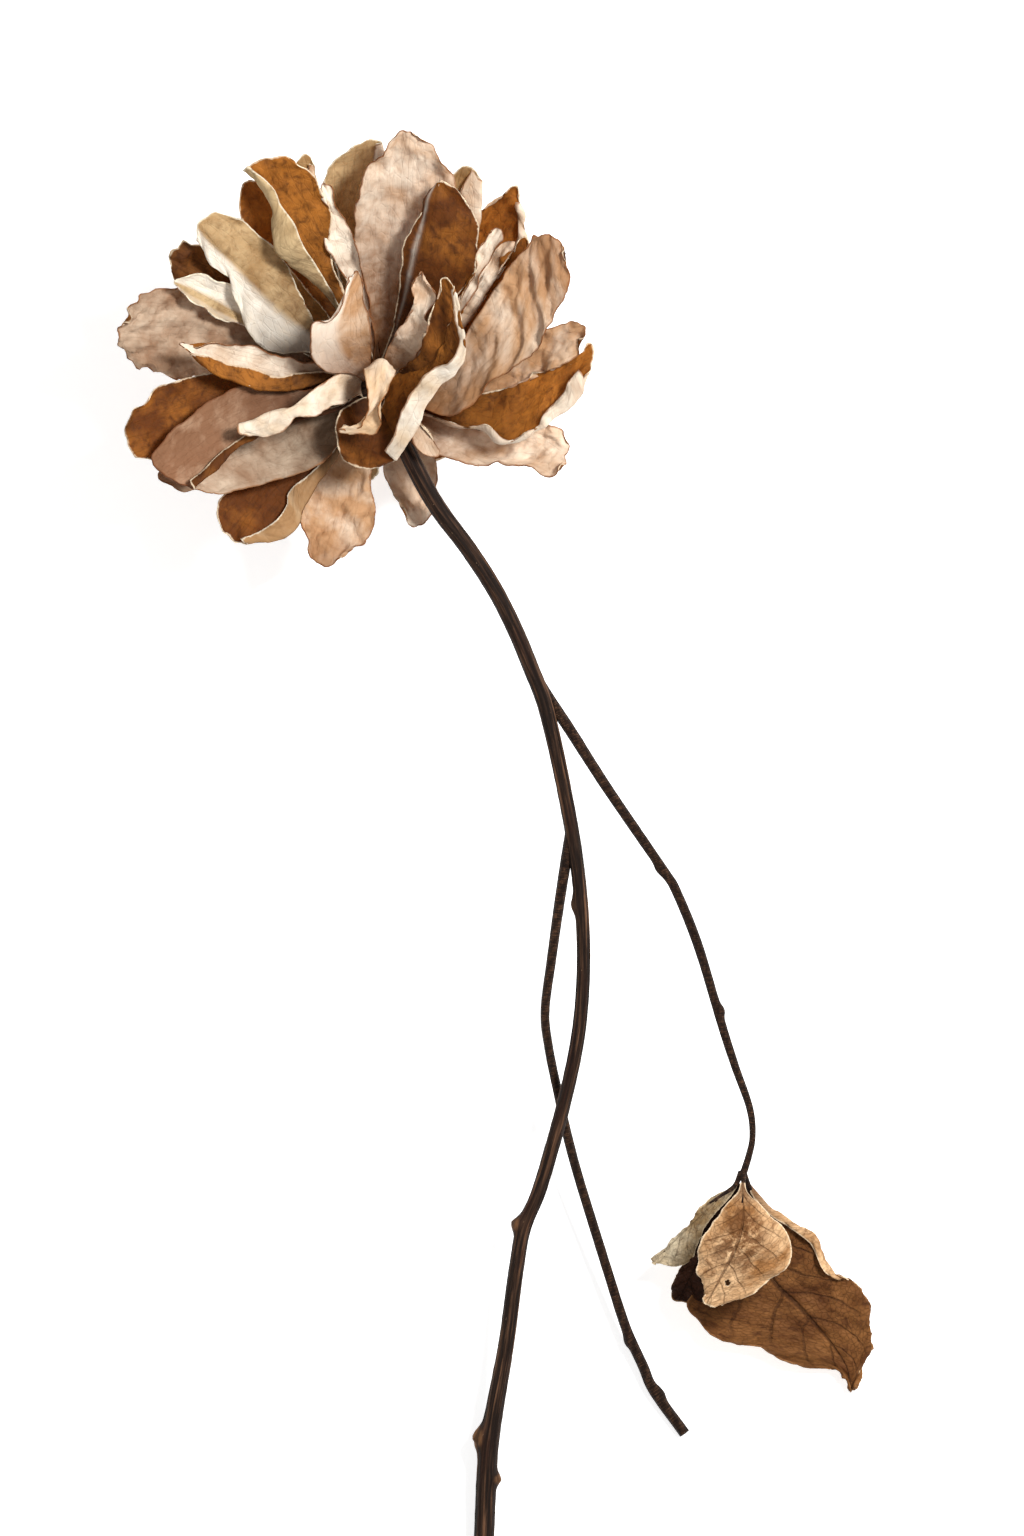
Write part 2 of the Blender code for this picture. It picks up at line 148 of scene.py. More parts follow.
# places of a petal or leaf between its drawn edges, and the share across at each column
def drawnGrid(start, side, shape, rows, columns, foot):
    margin = bloom["margin"]
    spine = curveThrough([start, *shape["path"]], rows + 1)[0]
    edges = []
    for sign, key in ((-1, "left"), (1, "right")):
        drawn = [Vector((x, y, 0)) for x, y in shape[key]]
        base = start + side * sign * foot
        edges.append(curveThrough([(base.x, base.y, 0), *drawn], rows + 1)[0])
    turned = shape.get("turned")
    if turned:
        loose = curveThrough([(start.x, start.y, 0), *[(x, y, 0) for x, y in turned["edge"]]], rows + 1)[0]
    shares = [2 * j / columns - 1 for j in range(columns + 1)]
    grid = []
    for i, middle in enumerate(spine):
        level = Vector((middle.x, middle.y, 0))
        low, high = edges[0][i], edges[1][i]
        row = []
        for s in shares:
            place = level + (high - low) * s / 2 + ((low + high) / 2 - level) * s * s
            half = ((low if s < 0 else high) - level).length
            row.append(Vector((place.x, place.y, middle.z + rise(s, half, shape))))
        if turned:    # the margin goes on past the fold and lies back over the face
            fold = edges[0 if turned["side"] < 0 else 1][i]
            half = (fold - level).length
            flap = []
            for k in range(1, margin + 1):
                u = k / margin
                place = fold.lerp(loose[i], smooth(u) * 0.35 + u * 0.65)
                share = max(1 - (place - fold).length / max(half, 0.5), 0) * turned["side"]
                spread = min(max((fold - loose[i]).length - 0.35, 0) / 0.5, 1)    # 0 where the margin is gone
                bulge = math.sin(math.pi * min(u * 1.1, 1) * 0.62) + 0.15
                above = spread * turned["lift"] * bulge - (1 - spread) * 0.5
                flap.append(Vector((place.x, place.y, middle.z + rise(share, half, shape) + above)))
            row = flap[::-1] + row if turned["side"] < 0 else row + flap
        grid.append(row)
    if turned:
        extra = [1 + k / margin * 0.5 for k in range(1, margin + 1)]
        shares = [-e for e in extra[::-1]] + shares if turned["side"] < 0 else shares + extra
    return grid, shares


def railGrid(rails, rows, columns):    # places on a sheet that runs smoothly from rail to rail
    lines = [curveThrough(rail, rows + 1)[0] for rail in rails]
    return [curveThrough([line[i] for line in lines], columns + 1)[0] for i in range(rows + 1)]


def layFlat(grid, shares):    # how far each place is across and along the sheet and from its edge, in mm
    flat = []
    for i, row in enumerate(grid):
        steps = [0.0]
        for p, q in zip(row, row[1:]):
            steps.append(steps[-1] + (q - p).length)
        middle = steps[min(range(len(row)), key=lambda j: abs(shares[j]))]
        previous = flat[-1] if flat else None
        line = []
        for j, step in enumerate(steps):
            along = previous[j][1] + (grid[i][j] - grid[i - 1][j]).length if previous else 0.0
            line.append((step - middle, along, min(step, steps[-1] - step)))
        flat.append(line)
    return flat


def pieceFrom(bm, name):
    mesh = bpy.data.meshes.new(name)
    bm.to_mesh(mesh)
    bm.free()
    piece = bpy.data.objects.new(name, mesh)
    bpy.context.collection.objects.link(piece)
    return piece


# turns a grid of places into a thin crumpled sheet, with what its finish needs to know at every point
def gridSheet(name, grid, shares, shape, bowl, thick, seed, veined=False):
    rng = random.Random(seed)
    shift = rng.uniform(0, 90)
    tone = shape.get("tone", rng.random())
    phase = rng.uniform(0, 6.28)
    rows, columns = len(grid) - 1, len(grid[0]) - 1
    for row in grid:
        for place in row:
            place.z += bowl * (place.x ** 2 + place.y ** 2) / bloom["radius"] ** 2
    flat = layFlat(grid, shares)
    moved = []
    for i, row in enumerate(grid):
        t = i / rows
        free = smooth(t / sheetDetail["stiffFoot"])
        line = []
        for j, place in enumerate(row):
            x, y, toEdge = flat[i][j]
            s = shares[j]
            acrossWay = grid[i][min(j + 1, columns)] - grid[i][max(j - 1, 0)]
            alongWay = grid[min(i + 1, rows)][j] - grid[max(i - 1, 0)][j]
            facing = acrossWay.cross(alongWay)
            facing = facing.normalized() if facing.length > 1e-9 else up
            crisp = max(shape["crumple"] - sheetDetail["crispFrom"], 0) * smooth((t - 0.15) / 0.5) / shape["crumple"]
            crease = crumpleAt(x, y, shift, crisp)
            outer = math.exp(-min(toEdge, (1 - t) * 40) / sheetDetail["waveBand"])
            swing = sheetDetail["waves"] * y + phase + 2.5 * wobble(y * 0.08, s, shift)
            wave = math.sin(swing) + 0.7 * wobble(y * 0.45, s, shift + 5)
            height = free * shape["crumple"] * crease * (0.45 + 0.75 * t)
            height += free * shape["ruffle"] * outer * wave * 0.9
            height += sheetDetail["grain"] * free * wobble(x * 0.95, y * 0.05, shift + 31)
            if veined:
                half = max(abs(flat[i][0][0]), abs(flat[i][-1][0]))
                sideVein = abs(((t - 0.2 * abs(s)) * 8) % 1 - 0.5)
                midrib = sheetDetail["midrib"] * min(half / 9, 1) ** 2 * math.exp(-(x / 0.7) ** 2)
                height -= midrib - sheetDetail["sideVeins"] * math.exp(-(sideVein / 0.09) ** 2) * min(half / 6, 1)
            ragged = 0.35 * wobble(y * 0.4, s, shift + 41) + 0.1 * wobble(y * 1.6, s, shift)
            nick = free * math.exp(-toEdge / sheetDetail["nickBand"]) * ragged
            raggedTip = 0.6 * wobble(x * 0.35, 2, shift + 51) + 0.15 * wobble(x * 1.2, 4, shift)
            end = smooth((t - 0.88) / 0.12) * raggedTip
            sign = -1 if s < 0 else 1
            shifted = place + facing * height + end * (alongWay.normalized() if alongWay.length > 1e-9 else up)
            if acrossWay.length > 1e-9 and abs(s) <= 1.001:
                shifted += acrossWay.normalized() * sign * nick
            line.append((shifted, crease))
        moved.append(line)
    bm = bmesh.new()
    flatKey = bm.verts.layers.float_vector.new("flat")
    names = ("edge", "along", "across", "crease", "tone", "litHalfAndStreak", "stainAndShade")
    keys = {key: bm.verts.layers.float.new(key) for key in names}
    footReach, footStainAndShade = shape["foot"]
    tipFrom, tipStain = shape["tipped"]
    litHalfAndStreak = shape["litHalfAndStreak"]
    verts = []
    for i, line in enumerate(moved):
        row = []
        for j, (place, crease) in enumerate(line):
            place.z = max(place.z, floorLevel + thick)
            vert = bm.verts.new(headAt + place * mm)
            x, y, toEdge = flat[i][j]
            s = shares[j]
            vert[flatKey] = (x, y, shift)
            # darker towards the foot, partly real stain and partly painted shade; the stained tip is real
            stainAndShade = footStainAndShade * (1 - smooth((i / rows - 0.05) / max(footReach, 0.1)))
            if i / rows > tipFrom:
                stainAndShade = tipStain * smooth((i / rows - tipFrom) / (1 - tipFrom))
            # painted light: the lit half is made paler
            paleness = litHalfAndStreak[0 if s < 0 else 1] * smooth((abs(s) - 0.12) / 0.3)
            if "streak" in shape:
                at, wide, strength = shape["streak"]
                paleness = strength * math.exp(-((s - at) / wide) ** 2)
            told = dict(edge=min(toEdge, flat[-1][j][1] - y), along=i / rows, across=s, crease=crease, tone=tone,
                        stainAndShade=stainAndShade, litHalfAndStreak=paleness)
            for key, value in told.items():
                vert[keys[key]] = value
            row.append(vert)
        verts.append(row)
    hole = shape.get("hole")
    for low, high in zip(verts, verts[1:]):
        for a, b, c, d in zip(low, low[1:], high[1:], high):
            if hole:
                centre = ((a.co + b.co + c.co + d.co) / 4 - headAt) / mm
                if math.hypot(centre.x - hole[0], centre.y - hole[1]) < hole[2]:
                    continue
            bm.faces.new((a, b, c, d)).smooth = True
    piece = pieceFrom(bm, name)
    shell = piece.modifiers.new("thickness", "SOLIDIFY")
    shell.thickness = thick * mm
    shell.offset = 0
    shell.material_offset = 1
    shell.material_offset_rim = 2
    return piece


def colour(red, green, blue):    # display values from 0 to 255 as the linear colour a shader takes
    shown = [c / 255 for c in (red, green, blue)]
    return (*(c / 12.92 if c < 0.0404 else ((c + 0.055) / 1.055) ** 2.4 for c in shown), 1)


class Socket:    # one output of a node, ready for sums
    def __init__(self, tree, link):
        self.tree, self.link = tree, link

    def sum(self, operation, first, second=None):
        values = {0: first} if second is None else {0: first, 1: second}
        return self.tree.node("ShaderNodeMath", dict(operation=operation), values)

    def __add__(self, other): return self.sum("ADD", self, other)
    def __radd__(self, other): return self.sum("ADD", other, self)
    def __sub__(self, other): return self.sum("SUBTRACT", self, other)
    def __rsub__(self, other): return self.sum("SUBTRACT", other, self)
    def __mul__(self, other): return self.sum("MULTIPLY", self, other)
    def __rmul__(self, other): return self.sum("MULTIPLY", other, self)
    def __abs__(self): return self.sum("ABSOLUTE", self)

    def clamp(self):
        return self.tree.node("ShaderNodeClamp", {}, {0: self})

    def ramp(self, low, high):    # 0 below low, 1 above high, soft between
        return self.tree.node("ShaderNodeMapRange", dict(interpolation_type="SMOOTHSTEP"), {0: self, 1: low, 2: high})


class Finish:    # a material that is written down as sums
    def __init__(self, name):
        self.material = bpy.data.materials.new(name)
        self.material.use_nodes = True
        self.nodes = self.material.node_tree.nodes
        self.nodes.clear()

    def node(self, kind, settings, values, output=0):
        made = self.nodes.new(kind)
        for key, value in settings.items():
            setattr(made, key, value)
        for key, value in values.items():
            if isinstance(value, Socket):
                self.material.node_tree.links.new(value.link, made.inputs[key])
            else:
                made.inputs[key].default_value = value
        return Socket(self, made.outputs[output]) if made.outputs else None

    def attribute(self, name, output="Fac"):
        return self.node("ShaderNodeAttribute", dict(attribute_name=name), {}, output)

    def noise(self, vector, scale, detail=3, rough=0.55, output=0, distortion=0):
        values = {"Vector": vector, "Scale": scale, "Detail": detail, "Roughness": rough, "Distortion": distortion}
        return self.node("ShaderNodeTexNoise", {}, values, output)

    def cells(self, vector, scale):
        return self.node("ShaderNodeTexVoronoi", dict(feature="DISTANCE_TO_EDGE"), {"Vector": vector, "Scale": scale})

    def stretch(self, vector, scale):
        return self.node("ShaderNodeVectorMath", dict(operation="MULTIPLY"), {0: vector, 1: scale})

    def mix(self, share, first, second):
        return self.node("ShaderNodeMix", dict(data_type="RGBA"), {0: share, 6: first, 7: second}, 2)

    def bump(self, height, strength, distance=0.0002):
        return self.node("ShaderNodeBump", {}, {"Strength": strength, "Distance": distance, "Height": height})

    def finish(self, base, normal, roughness, through=None, glow=0.25, gloss=0.15, lit=0):
        values = {"Base Color": base, "Normal": normal, "Roughness": roughness, "Specular IOR Level": gloss}
        if lit:
            values.update({"Emission Color": (1, 1, 1, 1), "Emission Strength": lit})
        solid = self.node("ShaderNodeBsdfPrincipled", {}, values)
        if through is not None:    # thin dry tissue lets some light through
            back = self.node("ShaderNodeBsdfTranslucent", {}, {"Color": through})
            solid = self.node("ShaderNodeMixShader", {}, {0: glow, 1: solid, 2: back})
        self.node("ShaderNodeOutputMaterial", {}, {0: solid})
        return self.material


# colours from 0 to 255 and strengths of each finish, and the finish of the other face
# the stain colour also paints shade in crease valleys, and the foot colour also paints shade at a petal's foot
skins = {
    "cream": dict(light=(254, 246, 230), mid=(218, 188, 150), stainAndShade=(140, 90, 50), foot=(150, 104, 64),
                  rim=(150, 96, 54), through=(246, 214, 172), vein=0.3, blotch=0.25, spots=0.9, back="brown"),
    "ash": dict(light=(230, 210, 184), mid=(156, 124, 98), stainAndShade=(104, 72, 46), foot=(84, 60, 38),
                rim=(140, 92, 54), through=(206, 176, 132), vein=0.3, blotch=0.4, spots=0.3, back="brown"),
    "sand": dict(light=(230, 204, 166), mid=(170, 130, 88), stainAndShade=(120, 78, 42), foot=(92, 56, 30),
                 rim=(250, 238, 214), through=(214, 168, 112), vein=0.3, blotch=0.35, spots=0.3, back="brown"),
    "pale": dict(light=(250, 236, 214), mid=(194, 152, 112), stainAndShade=(142, 94, 54), foot=(124, 80, 46),
                 rim=(130, 80, 44), through=(240, 200, 155), vein=0.3, blotch=0.35, spots=0.3, back="brown"),
    "khaki": dict(light=(204, 176, 132), mid=(136, 98, 52), stainAndShade=(84, 54, 22), foot=(62, 36, 14),
                  rim=(240, 228, 202), through=(175, 130, 70), vein=0.4, blotch=0.5, spots=0.3, back="pale"),
    "taupe": dict(light=(222, 186, 154), mid=(140, 100, 72), stainAndShade=(104, 66, 40), foot=(70, 40, 22),
                  rim=(112, 66, 36), through=(200, 150, 112), vein=0.35, blotch=0.35, spots=0.3, back="pale"),
    "brown": dict(light=(170, 106, 40), mid=(92, 50, 14), stainAndShade=(52, 26, 5), foot=(34, 16, 5),
                  rim=(238, 216, 184), through=(160, 86, 22), vein=0.5, blotch=0.75, spots=0.25, back="pale"),
    "dark": dict(light=(138, 88, 40), mid=(70, 34, 8), stainAndShade=(32, 13, 3), foot=(26, 10, 3), rim=(226, 204, 172),
                 through=(100, 52, 16), vein=0.5, blotch=0.75, spots=0.3, back="khaki"),
    "tanLeaf": dict(light=(236, 196, 150), mid=(160, 112, 66), stainAndShade=(104, 64, 30), foot=(92, 56, 28),
                    rim=(246, 220, 184), through=(205, 145, 85), vein=0.55, centre=0.85, spots=0.9,
                    back="brownLeaf"),
    "khakiLeaf": dict(light=(216, 198, 166), mid=(150, 122, 84), stainAndShade=(84, 58, 30), foot=(56, 34, 18),
                      rim=(220, 198, 162), through=(160, 120, 70), vein=0.35, centre=0.2, spots=0.4,
                      back="darkLeaf"),
    "darkLeaf": dict(light=(62, 30, 9), mid=(34, 12, 3), stainAndShade=(20, 7, 2), foot=(24, 8, 2), rim=(170, 130, 86),
                     through=(60, 24, 6), vein=0.4, centre=0.2, spots=0.3, back="khakiLeaf"),
    "brownLeaf": dict(light=(134, 88, 46), mid=(88, 50, 20), stainAndShade=(56, 26, 6), foot=(40, 18, 5),
                      rim=(150, 104, 62), through=(120, 62, 20), vein=0.6, centre=0.2, spots=0.4,
                      back="tanLeaf"),
}
for look in skins.values():
    for part in ("light", "mid", "stainAndShade", "foot", "rim", "through"):
        look[part] = colour(*look[part])
madeSkins = {}


tissue = {
    "mottle": 0.12,       # scales for each mm: larger is finer
    "blotch": 0.38,
    "spots": 1.9,
    "net": 0.42,
    "fibre": (2.6, 0.2, 1),
    "vein": (0.42, 0.035, 1),
    "veinWander": (0.5, 0.3, 0),
    "veinThinness": 26,
    "relief": 0.0004,     # metres
}


def petalSkin(name):    # mottled tissue with long veins, a fine net of creases, a foot darkened partly by real stain and partly by painted shade, painted shade in the crease valleys, painted light on a lit half, and a dry rim
    if name in madeSkins:
        return madeSkins[name]
    look = skins[name]
    f = Finish(name + "Skin")
    flat = f.attribute("flat", "Vector")
    stainAndShade = f.attribute("stainAndShade")
    edge = f.attribute("edge")
    crease = f.attribute("crease")
    tone = f.attribute("tone")
    mottle = f.noise(flat, tissue["mottle"], 5, 0.55)
    blotch = f.noise(flat, tissue["blotch"], 6, 0.68, distortion=0.8)
    fibre = f.noise(f.stretch(flat, tissue["fibre"]), 1.0, 4, 0.6)
    wander = f.stretch(f.noise(flat, 0.25, 2, 0.5, 1), tissue["veinWander"])
    bent = f.node("ShaderNodeVectorMath", dict(operation="ADD"), {0: f.stretch(flat, tissue["vein"]), 1: wander})
    veins = (1 - abs(f.noise(bent, 1.0, 1, 0.4) - 0.5) * tissue["veinThinness"]).clamp()
    net = 1 - f.cells(f.stretch(flat, (1, 0.55, 1)), tissue["net"]).ramp(0.0, 0.07)
    spots = f.noise(flat, tissue["spots"], 2, 0.5).ramp(0.72, 0.80)
    litHalfAndStreak = f.attribute("litHalfAndStreak")
    tint = f.mix((tone * 0.85 + 0.12 + (mottle - 0.5) * 2.2).clamp(), look["light"], look["mid"])
    tint = f.mix(blotch.ramp(0.43, 0.72) * look["blotch"], tint, look["stainAndShade"])
    # painted shade in the valleys of the creases
    tint = f.mix((crease * -0.8).clamp() * 0.18, tint, look["stainAndShade"])
    tint = f.mix((veins * 0.4 + net * 0.07).clamp() * look["vein"], tint, look["stainAndShade"])
    tint = f.mix(spots * look["spots"] * 0.6, tint, look["stainAndShade"])
    # painted light: the lit half is made paler; the streak is a pale line on the petal
    tint = f.mix((litHalfAndStreak * (0.3 + blotch * 1.1)).clamp(), tint, skins["cream"]["light"])
    # darker towards the foot, partly real stain and partly painted shade, and a real stained tip
    tint = f.mix((stainAndShade + (blotch - 0.5) * stainAndShade).clamp(), tint, look["foot"])
    dryRim = 1 - (edge + (blotch - 0.5) * 1.4).ramp(0.1, 0.5)
    tint = f.mix(dryRim * 0.8, tint, look["rim"])
    roughness = 0.6 + fibre * 0.2
    relief = f.bump(fibre * 0.2 + blotch * 0.8 - veins * 0.3 - net * 0.35, 0.5, tissue["relief"])
    madeSkins[name] = f.finish(tint, relief, roughness, look["through"])
    return madeSkins[name]


blade = {
    "mottle": 0.11,       # scales for each mm: larger is finer
    "blotch": 0.35,
    "fibre": 2.2,
    "net": 0.8,
    "pits": 1.5,
    "veinPairs": 7,
    "veinSlant": 0.22,
    "relief": 0.0004,     # metres
}


def leafSkin(name):    # blotched blade with a midrib and bowed side veins
    if name in madeSkins:
        return madeSkins[name]
    look = skins[name]
    f = Finish(name + "Skin")
    flat = f.attribute("flat", "Vector")
    along = f.attribute("along")
    across = f.attribute("across")
    edge = f.attribute("edge")
    crease = f.attribute("crease")
    mottle = f.noise(flat, blade["mottle"], 4, 0.6)
    blotch = f.noise(flat, blade["blotch"], 6, 0.68, distortion=0.8)
    fibre = f.noise(flat, blade["fibre"], 4, 0.6)
    wander = (f.noise(flat, 0.2, 2, 0.5) - 0.5) * 0.05
    midrib = 1 - abs(across).ramp(0.015, 0.05)
    branch = (along + wander - abs(across) * blade["veinSlant"]) * blade["veinPairs"]
    side = f.node("ShaderNodeMath", dict(operation="FRACT"), {0: branch})
    sideVein = (1 - (abs(side - 0.5)).ramp(0.02, 0.06)) * (1 - abs(across).ramp(0.7, 0.98))
    net = 1 - f.cells(flat, blade["net"]).ramp(0.0, 0.10)
    pits = f.noise(flat, blade["pits"], 2, 0.5).ramp(0.70, 0.78)
    tint = f.mix(((mottle - 0.5) * 3 + 0.5).clamp(), look["light"], look["mid"])
    tint = f.mix(blotch.ramp(0.48, 0.7) * 0.7, tint, look["stainAndShade"])
    centre = (1 - abs(across).ramp(0.3, 0.8)) * along.ramp(0.12, 0.3) * (1 - along.ramp(0.5, 0.85))
    tint = f.mix(centre * blotch.ramp(0.38, 0.52) * look["centre"], tint, look["stainAndShade"])
    # painted shade in the valleys of the creases
    tint = f.mix((crease * -0.6).clamp() * 0.3, tint, look["stainAndShade"])
    tint = f.mix((midrib + sideVein * 0.7 + net * 0.25).clamp() * look["vein"], tint, look["foot"])
    tint = f.mix(pits * look["spots"] * 0.7, tint, look["stainAndShade"])
    tint = f.mix((1 - along.ramp(0.03, 0.22)) * 0.8, tint, look["foot"])
    tint = f.mix((1 - edge.ramp(0.1, 0.5)) * 0.8, tint, look["rim"])
    relief = f.bump(fibre * 0.3 + blotch * 0.7 - midrib * 1.2 - sideVein * 0.9 - net * 0.5, 0.8, blade["relief"])
    madeSkins[name] = f.finish(tint, relief, 0.55 + blotch * 0.25, look["through"], 0.12)
    return madeSkins[name]


def rimSkin(name, tint):    # the cut edge of a sheet
    key = name + "Rim"
    if key not in madeSkins:
        f = Finish(key)
        flat = f.attribute("flat", "Vector")
        worn = f.noise(flat, 0.8, 3, 0.6)
        shade = f.mix(worn.ramp(0.35, 0.7) * 0.7, tint, skins["brown"]["stainAndShade"])
        madeSkins[key] = f.finish(shade, f.bump(worn, 0.3), 0.7 + worn * 0.1)
    return madeSkins[key]


def dressBlade(piece, shape, skinOf, node):
    back = shape.get("back", skins[shape["skin"]]["back"])
    piece.data.materials.append(skinOf(shape["skin"]))
    piece.data.materials.append(skinOf(back))
    piece.data.materials.append(rimSkin(shape["skin"], skins[shape["skin"]]["rim"]))
    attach(piece, "root")
    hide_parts(node)


